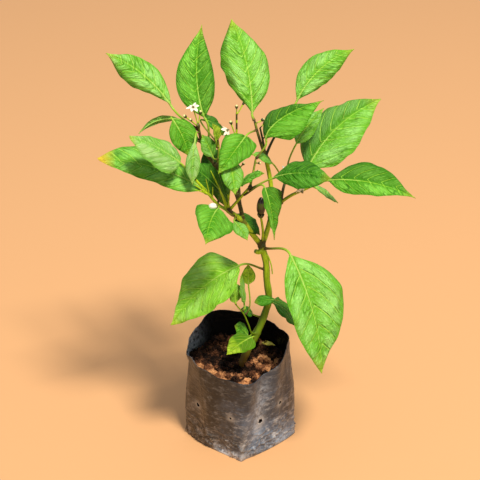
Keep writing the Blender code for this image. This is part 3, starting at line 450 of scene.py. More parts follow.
def makeSoil():
    # a polar grid of heights, walled by the film, and seeded crumbs: one knobbly ball, turned and stretched
    angles = np.arange(soil["sides"]) * 360 / soil["sides"] - 180
    wallLevels = np.linspace(0.03, 0.8, 24)
    angle, level = np.meshgrid(angles, wallLevels)
    wall = bagPoint(angle, level, bag["film"] + soil["clear"])
    edgeLevel = soil["top"] / roundValue(angles, 2)
    edge = bagPoint(angles, edgeLevel, bag["film"] + 0.4)
    wall[:, :, 2] = np.minimum(wall[:, :, 2], soilHeight(edge[:, 0], edge[:, 1]) - 1.5)
    share = np.linspace(1, 0.01, soil["rings"])[:, None]
    x, y = share * edge[:, 0], share * edge[:, 1]
    top = np.stack([x, y, soilHeight(x, y)], axis=-1)
    floor = wall[:1] * [0.5, 0.5, 1]
    rings = np.concatenate([floor, wall, top])
    damp = np.zeros((len(floor) + len(wall), soil["sides"]))
    # the top's pale mark, painted sunlight by the stem
    dry = np.concatenate([damp, 0.8 * dryPlaces(x, y) + 0.1 * ripple(top, 16, 24)])
    parts = [skin(rings, dry=dry)]
    draw = np.random.default_rng(31)
    ball = egg((0, 0, 0), up, 1.0, 2.0, sides=7, rows=6)
    count = soil["crumbs"] + soil["bigCrumbs"]
    big = np.arange(count) >= soil["crumbs"]
    size = np.where(big, draw.uniform(*soil["bigSize"], count), draw.uniform(0, 1, count) ** 2.2
                    * (soil["crumbSize"][1] - soil["crumbSize"][0]) + soil["crumbSize"][0])
    around = draw.uniform(-180, 180, count)
    film = bagPoint(around, soil["top"] / roundValue(around, 2))[:, :2]
    reach = np.hypot(*np.moveaxis(film, -1, 0)) - size - 2
    out = np.sqrt(draw.uniform(0.0, 1.0, count)) * reach
    x, y = out * np.cos(np.radians(around)), out * np.sin(np.radians(around))
    turn = np.linalg.qr(draw.normal(size=(count, 3, 3)))[0]
    knobs = ball["points"][None] * (1 + draw.uniform(-0.4, 0.35, (count, len(ball["points"]), 1)))
    knobs = np.einsum("nij,npj->npi", turn, knobs * draw.uniform(0.65, 1.1, (count, 1, 3)))
    centre = np.stack([x, y, soilHeight(x, y) + 0.25 * size], axis=-1)
    points = (centre[:, None] + knobs * size[:, None, None]).reshape(-1, 3)
    offset = np.arange(count)[:, None, None] * len(ball["points"])
    # each crumb's pale mark: random, plus the pale patches, painted sunlight by the stem
    dryness = 0.35 * draw.uniform(0, 1, count) ** 2 + dryPlaces(x, y) * draw.uniform(0.45, 1.15, count)
    parts.append(dict(points=points, quads=(ball["quads"] + offset).reshape(-1, 4),
                      fans=(ball["fans"] + offset).reshape(-1, 3),
                      marks=dict(dry=np.repeat(dryness, len(ball["points"]))[:, None])))
    mesh = toMesh("potting_soil", parts)
    smooth = np.arange(len(mesh.polygons)) < len(parts[0]["quads"]) + len(parts[0]["fans"])
    mesh.polygons.foreach_set("use_smooth", smooth)
    place("potting_soil", mesh, pottingSoil(), "soil", "soil")


makeSoil()
print("soil made")

# The stem. Branches: points along each, first and last radius. A twig's first point lies on its parent's
# axis. Most points were worked out by a camera script from places picked by eye in the photograph, at guessed
# depths.
branches = {
    "main": (((-1, -12, 50), (0, -11, 68), (1, -10, 85), (6, -9, 99), (15, -5, 116), (23, 0, 136),
              (26, 1, 151), (24, 2, 169), (23, 1, 189), (19, 0, 206)), 3.9, 3.1),
    "left": (((19, 0, 206), (10, -5, 221), (2, -9, 235), (-11, -17, 250)), 2.7, 2.1),
    "leftLow": (((-11, -17, 250), (-21, -22, 259), (-30, -27, 273), (-40, -33, 288)), 1.6, 1.2),
    "leftUp": (((2, -9, 235), (-1, -7, 250), (-6, -4, 265), (-14, -1, 276), (-23, 2, 286),
                (-30, 2, 296), (-35, 0, 309), (-38, -4, 327)), 2.1, 1.3),
    "leftTwin": (((-22, 2, 285), (-20, 6, 296), (-21, 9, 308)), 1.5, 1.1),
    "budTwig": (((-1, -7, 250), (-2, 0, 265), (-4, 7, 279), (-4, 12, 297), (-4, 14, 332)), 1.5, 0.9),
    "middle": (((19, 0, 206), (23, 2, 217), (27, 5, 233), (28, 7, 249), (27, 8, 265), (25, 9, 277),
                (22, 10, 291)), 2.5, 1.9),
    "midLeft": (((22, 10, 291), (18, 8, 304), (14, 9, 318), (12, 10, 326)), 1.5, 1.1),
    "midBack": (((22, 10, 291), (20, 14, 303), (17, 18, 316)), 1.3, 0.9),
    "midRight": (((22, 10, 291), (26, 16, 299), (31, 24, 306)), 1.4, 1.1),
    "right": (((27, 5, 233), (32, 2, 243), (36, -2, 251), (45, -6, 260), (56, -9, 267),
               (68, -11, 274)), 1.9, 1.2),
    "rightUp": (((36, -2, 251), (38, 2, 262), (41, 8, 271), (45, 14, 281)), 1.5, 1.1),
    "cross": (((-11, -17, 250), (-1, -20, 264), (8, -22, 276)), 1.4, 1.2),
    "crossUp": (((8, -22, 276), (11, -16, 289), (13, -12, 299)), 1.1, 0.9),
    "fruitStalk": (((19, 0, 206), (20, -4, 222), (18, -5, 238)), 1.3, 1.1),
    "shoot": (((15, -5, 116), (10, -12, 120), (7, -16, 131), (3, -18, 143), (-1, -20, 150),
               (-5, -21, 156)), 0.9, 0.7),
    "nub": (((20, 0, 201), (16, -3, 201), (13, -5, 203)), 2.6, 2.0),
    "dryStalk": (((21, 1, 200), (25, -2, 196), (28, -3, 187), (29, -3, 178)), 0.8, 0.6),
}
# Swollen nodes: place on a branch, radius, and how dark it is.
knots = ((("main", 9.0), 4.0, 0.25), (("main", 6.0), 3.5, 0.3), (("left", 2.0), 2.9, 0.7),
         (("left", 3.0), 2.6, 0.9), (("leftUp", 4.1), 2.3, 0.8), (("middle", 2.0), 2.9, 0.7),
         (("middle", 6.0), 2.7, 1.0), (("right", 2.0), 2.3, 0.8), (("cross", 2.0), 1.9, 0.8),
         (("leftUp", 7.0), 2.0, 1.0), (("rightUp", 2.0), 1.7, 0.8), (("main", 4.0), 3.9, 0.3),
         (("midLeft", 1.5), 1.2, 0.9), (("midLeft", 2.8), 1.2, 0.9), (("left", 0.35), 2.8, 0.6),
         (("middle", 0.35), 2.8, 0.5))
# Buds and nubs: foot, tip, stalk radius, radius and length of the head.
buds = ((("leftUp", 7.0), (-49, -9, 338), 0.6, 1.5, 3.4), (("leftUp", 6.9), (-44, -12, 336), 0.6, 1.3, 3.0),
        (("leftUp", 7.0), (-36, -1, 338), 0.6, 1.5, 3.6), (("budTwig", 3.3), (-9, 10, 324), 0.6, 1.5, 3.4),
        (("budTwig", 4.0), (-4, 13, 338), 0.6, 1.4, 3.2), (("budTwig", 3.9), (2, 16, 340), 0.6, 1.1, 2.8),
        (("midLeft", 2.6), (19, 12, 326), 0.6, 1.5, 3.0), (("midBack", 2.0), (21, 19, 320), 0.6, 1.6, 3.2),
        (("midBack", 1.2), (24, 19, 311), 0.6, 1.4, 3.0), (("crossUp", 1.6), (16, -15, 296), 0.6, 1.2, 2.6),
        (("crossUp", 0.9), (15, -19, 290), 0.6, 1.1, 2.4), (("budTwig", 2.0), (2, 3, 287), 0.6, 1.3, 3.0),
        (("right", 3.6), (50, -12, 266), 0.6, 1.2, 2.8))
# Flowers: foot, centre, the way it faces, radius, and how far its petals turn back.
flowers = {
    "left": (("leftUp", 7.0), (-42, -4, 344), (-0.1, -0.45, 1.0), 5.8, 0.1),
    "middle": (("leftTwin", 2.0), (-13, 4, 319), (0.75, -0.3, 0.6), 6.0, 0.5),
    "right": (("rightUp", 1.6), (40, 1, 282), (0.2, -0.7, 0.6), 4.6, 0.4),
    "low_right": (("right", 3.4), (54, -15, 269), (0.35, -0.75, -0.4), 4.2, 0.5),
}
whiteBud = dict(foot=("leftLow", 0.5), centre=(-25, -33, 262), facing=(-0.75, -0.4, 0.2), radius=3.2)
# Young sprigs at the crown's heart: foot, tip, radius.
sprigs = ((("leftLow", 1.6), (-41, -37, 285), 0.8), (("leftLow", 1.7), (-41, -36, 280), 0.6),
          (("leftLow", 1.8), (-31, -37, 291), 0.7), (("leftLow", 1.5), (-25, -35, 282), 0.7),
          (("left", 2.9), (-27, -22, 292), 0.9), (("leftLow", 0.3), (-21, -22, 279), 0.7),
          (("leftLow", 0.2), (-9, -22, 277), 0.6), (("left", 2.9), (-12, -20, 268), 0.8))
stem = dict(voxel=0.42, smoothing=3, bareStain=0.1, flowerStalk=0.6, flowerDrop=3.0, flowerCup=(1.9, 2.3),
            budCup=(2.4, 2.6), fruitCup=(3.3, 3.0),
            darkTwigs=dict(leftUp=0.6, leftTwin=0.45, budTwig=0.6, rightUp=0.7, midLeft=0.5, midBack=0.6,
                           midRight=0.7, right=0.3, crossUp=0.4))


def along(points, where):
    # smooth curve through points (Catmull-Rom) at places counted in points
    p = np.asarray(points, float)
    where = np.atleast_1d(np.asarray(where, float))
    i = np.clip(where.astype(int), 0, len(p) - 2)
    u = (where - i)[:, None]
    before, after = p[np.maximum(i - 1, 0)], p[np.minimum(i + 2, len(p) - 1)]
    return ((2 * u**3 - 3 * u**2 + 1) * p[i] + (u**3 - 2 * u**2 + u) * (p[i + 1] - before) / 2
            + (3 * u**2 - 2 * u**3) * p[i + 1] + (u**3 - u**2) * (after - p[i]) / 2)


def spot(foot):
    # point, direction and radius of a branch at a foot (branch, place)
    name, where = foot
    points, start, end = branches[name]
    last = len(points) - 1
    ahead, behind = along(points, min(where + 0.05, last))[0], along(points, max(where - 0.05, 0))[0]
    return along(points, where)[0], unit(ahead - behind), start + (end - start) * where / last


def branchTube(name):
    # tapering tube along a branch; the main stem narrows down its tap root, and twigs flare at their foot
    points, start, end = branches[name]
    last = len(points) - 1
    u = np.linspace(0, last, 12 * last + 1)
    radii = start + (end - start) * u / last
    if name == "main":
        radii = radii * np.minimum(1.0, 0.55 + 0.25 * u) * (1 + 0.04 * np.sin(7 * u))
    else:
        radii = radii * (1 + 0.25 * np.exp(-(u / 0.25) ** 2))
    return sweep(along(points, u), radii, 14)


def stalk(foot, tip, radius, rise=1.0, swell=0.35):
    # thin stalk: quadratic from a branch to a tip, lifted in its middle by rise, and swelling to its end
    start, tip = spot(foot)[0], np.asarray(tip, float)
    u = np.linspace(0, 1, 14)[:, None]
    path = (1 - u) ** 2 * start + 2 * u * (1 - u) * ((start + tip) / 2 + up * rise * 2) + u**2 * tip
    return sweep(path, radius * (1 + swell * u[:, 0] ** 3), 10), unit(path[-1] - path[-3])


def cup(centre, facing, radius, depth, teeth=5, tip=0.0):
    # calyx: a bell from its stalk to a rim toothed by cos(teeth * a), and back down inside; tip: how pale
    facing = unit(np.asarray(facing, float))
    side, third = aim(facing)
    a = np.arange(40) * 2 * math.pi / 40
    v = np.linspace(0, 1, 8)
    profile = np.concatenate([0.25 + 0.75 * v**0.5, (0.25 + 0.75 * v**0.5)[::-1] - 0.16])
    heights = np.concatenate([v, v[::-1] + 0.05])
    points = 0.45 * (0.5 + 0.5 * np.cos(teeth * a)) ** 2 * np.concatenate([v, v[::-1]])[:, None] ** 4
    rise = (heights[:, None] + points) * depth
    out = np.cos(a)[:, None] * side + np.sin(a)[:, None] * third
    rings = np.asarray(centre, float) + rise[..., None] * facing + (profile * radius)[:, None, None] * out
    return skin(rings, tip=np.full(rings.shape[:2], tip))


def chilliStem():
    # Soft green bark of a young chilli, living and ribbed. Fine streaks run up it, the low stem turns olive,
    # and the nodes and young twigs are stained purple-brown.
    material, tree, shader, _ = newMaterial("chilliStem")
    where = addNode(tree, "TexCoord").outputs["Object"]
    stretched = addNode(tree, "Mapping", {0: where, 3: (1.0, 1.0, 0.12)})
    # 1 mm ribs
    streak = addNode(tree, "TexNoise", {"Vector": stretched, "Scale": 900.0, "Detail": 4.0, "Roughness": 0.6})
    patch = addNode(tree, "TexNoise", {"Vector": where, "Scale": 140.0, "Detail": 3.0})  # 7 mm patches
    height = addNode(tree, "SeparateXYZ", {0: where})
    aged = addNode(tree, "MapRange", {0: height.outputs[2], 1: 0.084, 2: 0.2})
    green = addNode(tree, "ValToRGB", {0: aged}, stops=((0.0, "#5e4416"), (1.0, "#aed026"), (0.2, "#587808"),
                                                        (0.65, "#6c8e0e")))
    ribs = addNode(tree, "MapRange", {0: streak, 1: 0.42, 2: 0.62, 4: 0.5})
    ribbed = addNode(tree, "Mix", {0: ribs, 6: green, 7: "#4f6410"}, data_type="RGBA")
    facing = addNode(tree, "SeparateXYZ", {0: addNode(tree, "TexCoord").outputs["Normal"]})
    shady = addNode(tree, "Math", {0: streak, 1: 0.8, 2: facing.outputs[0]}, operation="MULTIPLY_ADD")
    # its left side, away from the key light, is darker
    shady = addNode(tree, "MapRange", {0: shady, 1: 0.0, 2: -0.35, 4: 0.75})
    ribbed = addNode(tree, "Mix", {0: shady, 6: ribbed.outputs[2], 7: "#3a5608"}, data_type="RGBA")
    foot = addNode(tree, "MapRange", {0: height.outputs[2], 1: 0.114, 2: 0.09, 4: 0.8})
    ribbed = addNode(tree, "Mix", {0: foot, 6: ribbed.outputs[2], 7: "#5e411a"}, data_type="RGBA")
    stain = addNode(tree, "Attribute", attribute_name="stain")
    spread = addNode(tree, "Math", {0: patch, 1: 0.5, 2: stain.outputs["Fac"]}, operation="MULTIPLY_ADD")
    spread = addNode(tree, "MapRange", {0: spread, 1: 0.46, 2: 0.8, 4: 0.92})
    stained = addNode(tree, "Mix", {0: spread, 6: ribbed, 7: "#2b1a1c"}, data_type="RGBA")
    bump = addNode(tree, "Bump", {"Height": streak, "Strength": 0.5, "Distance": 0.0006})
    setInputs(tree, shader, {"Base Color": stained, "Normal": bump, "Roughness": 0.42,
                             "Specular IOR Level": 0.3, "IOR": 1.45})
    return material


def flowerBudSkin():
    # Unopened chilli buds, living and downy: dark green cups with cream showing at the tips.
    material, tree, shader, _ = newMaterial("flowerBudSkin")
    where = addNode(tree, "TexCoord").outputs["Object"]
    tip = addNode(tree, "Attribute", attribute_name="tip")
    mottle = addNode(tree, "TexNoise", {"Vector": where, "Scale": 700.0, "Detail": 3.0})
    soft = addNode(tree, "Math", {0: mottle, 1: 0.35, 2: tip.outputs["Fac"]}, operation="MULTIPLY_ADD")
    colour = addNode(tree, "ValToRGB", {0: soft},
                     stops=((0.2, "#2c3012"), (1.0, "#d6cf94"), (0.6, "#6a7430")))
    bump = addNode(tree, "Bump", {"Height": mottle, "Strength": 0.3, "Distance": 0.0004})
    setInputs(tree, shader, {"Base Color": colour, "Normal": bump, "Roughness": 0.5})
    return material


def makeStem():
    # tubes and swellings become one remeshed body; its stain is exp(-(distance / reach)^2) round nodes
    parts = [branchTube(name) for name in branches]
    for foot, radius, _ in knots:
        centre, direction, _ = spot(foot)
        parts.append(egg(centre, direction, radius, 2.4 * radius))
    heads = []
    for foot, tip, stalkRadius, radius, length in buds:
        tube, way = stalk(foot, tip, stalkRadius, -0.3)
        parts.append(tube)
        tip = np.asarray(tip, float)
        heads.append(egg(tip + way * length * 0.15, way, radius, length * 1.15, lobes=5, depth=0.05))
        heads[-1]["marks"] = dict(tip=ease(0, 0.8 * length, (heads[-1]["points"] - tip) @ way)[:, None])
        heads.append(cup(tip - way * length * 0.5, way, radius * 1.06, length * 0.6))
    for name, (foot, centre, facing, radius, _) in flowers.items():
        facing = unit(np.asarray(facing, float))
        cupFoot = np.asarray(centre) - facing * stem["flowerDrop"]
        parts.append(stalk(foot, cupFoot, stem["flowerStalk"])[0])
        heads.append(cup(cupFoot, facing, *stem["flowerCup"]))
    parts += [stalk(foot, tip, radius, 0.6, -0.4)[0] for foot, tip, radius in sprigs]
    facing = unit(np.asarray(whiteBud["facing"], float))
    budFoot = np.asarray(whiteBud["centre"]) - facing * (whiteBud["radius"] * 1.3 + 1.0)
    parts.append(stalk(whiteBud["foot"], budFoot, stem["flowerStalk"])[0])
    heads.append(cup(budFoot, facing, *stem["budCup"], tip=0.35))
    fruitFoot = np.array(branches["fruitStalk"][0][-1], float)
    heads.append(cup(fruitFoot - up, up, *stem["fruitCup"], teeth=6, tip=0.1))
    mesh = bake("woody_stem", toMesh("tubes", parts),
                ("REMESH", dict(mode="VOXEL", voxel_size=stem["voxel"] * mm)),
                ("SMOOTH", dict(factor=0.5, iterations=stem["smoothing"])))
    points = values(mesh) / mm
    stain = np.full(len(points), stem["bareStain"])
    for foot, radius, dark in knots:
        stain += dark * 0.8 * np.exp(-(np.linalg.norm(points - spot(foot)[0], axis=1) / (radius * 1.7)) ** 2)
    for name, dark in stem["darkTwigs"].items():
        places = np.arange(0.35, len(branches[name][0]) - 0.9, 0.25)
        near = np.min([np.linalg.norm(points - p, axis=1) for p in along(branches[name][0], places)], axis=0)
        stain = np.maximum(stain, dark * ease(4.5, 2.0, near))
    setMark(mesh, "stain", np.clip(stain, 0, 1))
    mesh.shade_smooth()
    place("woody_stem", mesh, chilliStem(), "stem", "stem")
    place("calyxes_and_buds", toMesh("calyxes_and_buds", heads), flowerBudSkin(), "stem", "stem")


makeStem()
print("stem made")

# The leaves. foot: where the stalk springs from. base: where the blade begins. turn and rise: the way it
# points, in degrees round from +X and up. roll: about its midrib. bow and sway: the midrib's arch up and
# sideways, as a share of the length, highest at peak. skew: right half wider than left. fold: rise of each
# half, in degrees. belly and point: how blunt its start and tip are. wave, waves: height and number of the
# waves at its edges. curl, hem: how far the halves and their edges turn down; a turned-down edge also gets
# painted shade. out: the way the stalk leaves its branch. dim: painted shade on each half, up to dimTo.
leafDefaults = dict(out=None, roll=0, bow=0.1, sway=0.0, peak=0.5, skew=0.0, fold=(8, 8), curl=0.15,
                    belly=0.75, point=1.0, wave=0.045, waves=3, tone="fresh", hem=(0.1, 0.1), dim=(0, 0),
                    dimTo=1.2)
# In sixteen rows most values are the rounded output of a least-squares fit to traced outlines: the
# four crown ones, arched, broad_right, far_right, mid_right, hanging_middle, hanging_left, pale_left,
# long_left, inner_left, heart_left, low_left and low_right. In the others about half of the places,
# directions and sizes are the output of the same camera script as the branches.
leaves = {
    "crown_far_left": dict(foot=("leftUp", 6.7), base=(-60, -4, 344), turn=155, rise=32, long=77, wide=26,
                           hem=(0.5, 0), roll=-40, bow=0.08, sway=0.06, curl=0.3, fold=(0, 10),
                           belly=(1.6, 1.3), point=(1.1, 1.3), wave=0.08),
    "crown_left": dict(foot=("leftUp", 5.1), base=(-32, 6, 330), turn=94, rise=60, long=84, wide=35, bow=0.05,
                       roll=-6, sway=-0.07, peak=0.45, skew=-0.1, fold=(10, 12), curl=0.2, belly=(1.0, 0.7),
                       point=(1.55, 1.15), hem=(0.1, 0.5), wave=0.08, tone="full", dim=(0.0, 0.45)),
    "crown_top": dict(foot=("midLeft", 3.0), base=(10, 12, 331), turn=116, rise=61, long=87, wide=43, roll=-6,
                      bow=0.05, sway=0.04, fold=(12, 6), curl=0.2, belly=1.1, point=(0.9, 1.35), wave=0.06,
                      hem=(0.6, 0.15)),
    "crown_right": dict(foot=("midRight", 2.0), base=(50, 36, 334), turn=24, rise=36, long=71, wide=27,
                        roll=44, bow=0.06, sway=-0.09, skew=-0.08, fold=(8, 4), belly=(1.1, 1.0),
                        point=(1.4, 1.0), wave=0.07, waves=4, hem=(0.1, 0.5)),
    "arched": dict(foot=("crossUp", 2.0), base=(22, -8, 315), turn=18, rise=30, long=62, wide=37, roll=20,
                   peak=0.35, sway=-0.06, bow=0.13, skew=0.2, fold=(6, -4), belly=0.8, point=(2.0, 1.4),
                   tone="full", dim=(0.9, 0.0)),
    "broad_right": dict(foot=("rightUp", 3.0), base=(60, 16, 276), turn=28, rise=35, long=94, wide=57,
                        roll=18, bow=0.06, sway=-0.07, fold=(8, 4), belly=(0.7, 0.6), point=0.95,
                        hem=(0.35, 0.1), dim=(0.8, 0)),
    "behind_right": dict(foot=("rightUp", 2.4), base=(50, 20, 300), turn=29, rise=45, long=40, wide=20,
                         roll=20, bow=0.08, belly=0.55, out=(-0.2, 1, 0.3)),
    "far_right": dict(foot=("right", 5.0), base=(78, -14, 279), turn=-15, rise=-6, long=79, wide=37, roll=29,
                      bow=0.12, skew=-0.12, fold=(16, 14), belly=(0.9, 0.7), point=1.3, tone="full",
                      dim=(0.6, 0.15)),
    "mid_right": dict(foot=("cross", 1.7), base=(28, -20, 284), turn=-24, rise=10, long=56, wide=32, roll=28,
                      sway=-0.02, fold=(4, 4), belly=(0.8, 1.2), point=(1.1, 0.85), tone="deep"),
    "sliver_right": dict(foot=("right", 4.2), base=(66, -4, 268), turn=37, rise=-41, long=38, wide=11,
                         roll=35, bow=0.04, tone="pale"),
    "hanging_middle": dict(foot=("cross", 1.3), base=(21, -30, 279), turn=-64, rise=-66, long=47, wide=36,
                           roll=-13, bow=0.06, skew=-0.05, fold=(2, 45), belly=(0.2, 0.3), point=(1.4, 1.05),
                           tone="full", dim=(0.5, 0)),
    "small_middle": dict(foot=("leftUp", 2.0), base=(-3, -28, 280), turn=-23, rise=33, long=30, wide=20,
                         roll=10, bow=0.06, sway=-0.05, tone="full"),
    "hanging_centre": dict(foot=("midLeft", 2.0), base=(4, -8, 319), turn=-127, rise=-29, long=46, wide=32,
                           roll=-10, bow=0.08, sway=-0.04, fold=(10, 30), belly=0.4, tone="full"),
    "tongue_centre": dict(foot=("budTwig", 3.0), base=(-10, -26, 306), turn=-76, rise=-54, long=33, wide=20,
                          bow=0.06, belly=0.9),
    "little_centre": dict(foot=("rightUp", 1.6), base=(28, 2, 289), turn=-157, rise=29, long=23, wide=15,
                          roll=-20),
    "hanging_left": dict(foot=("leftUp", 6.6), base=(-40, -24, 325), turn=-97, rise=-61, long=42, wide=14,
                         roll=11, bow=0.06, belly=1.8, point=1.3, tone="pale"),
    "pale_left": dict(foot=("leftLow", 3.0), base=(-53, -34, 305), turn=-161, rise=35, long=55, wide=34,
                      roll=-34, bow=0.03, sway=0.03, skew=-0.12, fold=(0, 4), belly=(0.25, 0.2),
                      point=(0.55, 1.0), tone="pale"),
    "long_left": dict(foot=("leftLow", 2.0), base=(-34, -25, 277), turn=-175, rise=19, long=97, wide=36,
                      roll=-30, bow=0.03, sway=0.05, skew=0.18, fold=(2, 8), belly=(0.3, 1.0),
                      point=(0.55, 0.9), tone="aged"),
    "hook_left": dict(foot=("leftUp", 6.0), base=(-54, 4, 330), turn=-168, rise=-16, long=39, wide=9, roll=70,
                      bow=0.22),
    "inner_left": dict(foot=("leftUp", 6.1), base=(-60, -11, 336), turn=-45, rise=-55, long=35, wide=24,
                       bow=0.06, sway=-0.05, skew=-0.1, belly=0.7, point=0.8, out=(-1, -0.4, 0.3), roll=34,
                       tone="full"),
    "dark_back": dict(foot=("leftTwin", 1.6), base=(-34, 30, 319), turn=29, rise=-41, long=32, wide=27,
                      roll=20, tone="deep"),
    "young_back": dict(foot=("leftTwin", 1.4), base=(-22, 0, 311), turn=-142, rise=77, long=18, wide=16,
                       bow=0.0, roll=-70, fold=(40, 40), out=(-1, -1, 0.6), tone="lime"),
    "inner_low": dict(foot=("leftTwin", 0.6), base=(-25, -6, 298), turn=167, rise=64, long=23, wide=16,
                      bow=0.06, roll=-40, dim=(0, 0.5)),
    "shaded_left": dict(foot=("leftUp", 4.6), base=(-32, 20, 298), turn=-35, rise=-68, long=62, wide=38,
                        bow=0.06, tone="deep", dim=(0.5, 0.5)),
    "light_low": dict(foot=("leftLow", 1.0), base=(-19, -9, 266), turn=-166, rise=46, long=40, wide=29,
                      roll=-45, bow=0.06, dim=(0.7, 0.4), tone="deep"),
    "heart_left": dict(foot=("left", 2.6), base=(-20, -31, 260), turn=-104, rise=-18, long=47, wide=39,
                       roll=-15, bow=0.08, sway=0.05, skew=-0.1, fold=(12, 6), belly=(1.1, 0.25),
                       point=(1.1, 1.2), out=(-0.2, -1, 0.1), tone="full"),
    "under_fork": dict(foot=("left", 2.5), base=(-6, -20, 241), turn=-55, rise=-28, long=23, wide=15,
                       bow=0.06, out=(0.3, -1, -0.4)),
    "under_fork_back": dict(foot=("left", 1.8), base=(-6, 8, 235), turn=-30, rise=-30, long=31, wide=25,
                            bow=0.06, tone="deep", dim=(0.5, 0.5)),
    "low_left": dict(foot=("main", 7.6), base=(-2, -12, 192), turn=-155, rise=-34, long=83, wide=60, roll=-9,
                     bow=0.06, sway=0.05, skew=0.08, fold=(4, 16), belly=(0.5, 0.65), point=(0.7, 1.55),
                     dim=(0.1, 0.1), tone="sunny"),
    "low_right": dict(foot=("main", 8.8), base=(45, -20, 207), turn=-51, rise=-66, long=114, wide=60, roll=8,
                      bow=0.09, sway=-0.015, skew=-0.28, fold=(4, 6), belly=(0.95, 0.6), point=(1.35, 0.8),
                      wave=0.04),
    "round_low": dict(foot=("main", 5.9), base=(34, -8, 153), turn=-160, rise=5, long=23, wide=12, roll=-30,
                      bow=0.12, belly=1.2, point=0.6, tone="deep"),
    "low_back": dict(foot=("main", 5.7), base=(30, 6, 143), turn=18, rise=-52, long=42, wide=32, roll=15,
                     belly=0.6, tone="deep"),
    "bright_low": dict(foot=("main", 3.6), base=(10, -21, 121), turn=-141, rise=-15, long=31, wide=27,
                       roll=-6, bow=0.06, fold=(10, 14), belly=0.5, point=1.0, tone="lime", dim=(1.2, 1.2),
                       dimTo=0.55),
    "curled_low": dict(foot=("main", 4.4), base=(7, -5, 113), turn=-160, rise=44, long=19, wide=17, roll=-35,
                       belly=0.8, point=0.6, tone="full"),
    "shoot_dark": dict(foot=("main", 4.7), base=(11, -4, 136), turn=-147, rise=33, long=17, wide=11, roll=-40,
                       tone="deep"),
    "shoot_up": dict(foot=("shoot", 3.6), base=(4, -15, 150), turn=-152, rise=82, long=34, wide=20, roll=-40,
                     bow=0.0, belly=1.2, point=0.7, out=(1, 0.8, 0.3)),
    "shoot_top": dict(foot=("shoot", 5.0), base=(-5, -22, 158), turn=124, rise=82, long=21, wide=18, bow=0.0,
                      fold=(30, 10), tone="sunny"),
    "shoot_high": dict(foot=("shoot", 3.0), base=(7, -8, 170), turn=104, rise=83, long=20, wide=14, bow=0.0,
                       belly=0.5, out=(1, 0.6, 0.4), tone="lime"),
}
leafGrids = ((45, 104, 48, 6.5), (22, 60, 32, 5), (0, 36, 22, 4))  # longer than: rows, columns, veins a side
# In each tone, light is the pale green of patchy tone and of painted sheen, and deep the dark green of painted
# shade. sunny is a lighter copy of fresh, painted light; full and deep are darker greens, partly leaves of a
# deeper colour and partly painted shade for leaves in shade.
leafTones = {
    "fresh": dict(blade="#70be28", deep="#317a02", light="#a2e67a", vein="#bcee5c"),
    "aged": dict(blade="#66b224", deep="#2a7002", light="#92da66", vein="#bcee5c", tip=0.95),
    "sunny": dict(blade="#8ad02c", deep="#3f8804", light="#ace86a", vein="#caf25e"),
    "full": dict(blade="#50a210", deep="#1c5a02", light="#8ada4c", vein="#a8e444"),
    "pale": dict(blade="#7cc644", deep="#4c981a", light="#b2e48e", vein="#bceb7a"),
    "deep": dict(blade="#388406", deep="#164a02", light="#66b238", vein="#7cc23c"),
    "lime": dict(blade="#98ca1e", deep="#4f920e", light="#cbee4a", vein="#d0ee60"),
}


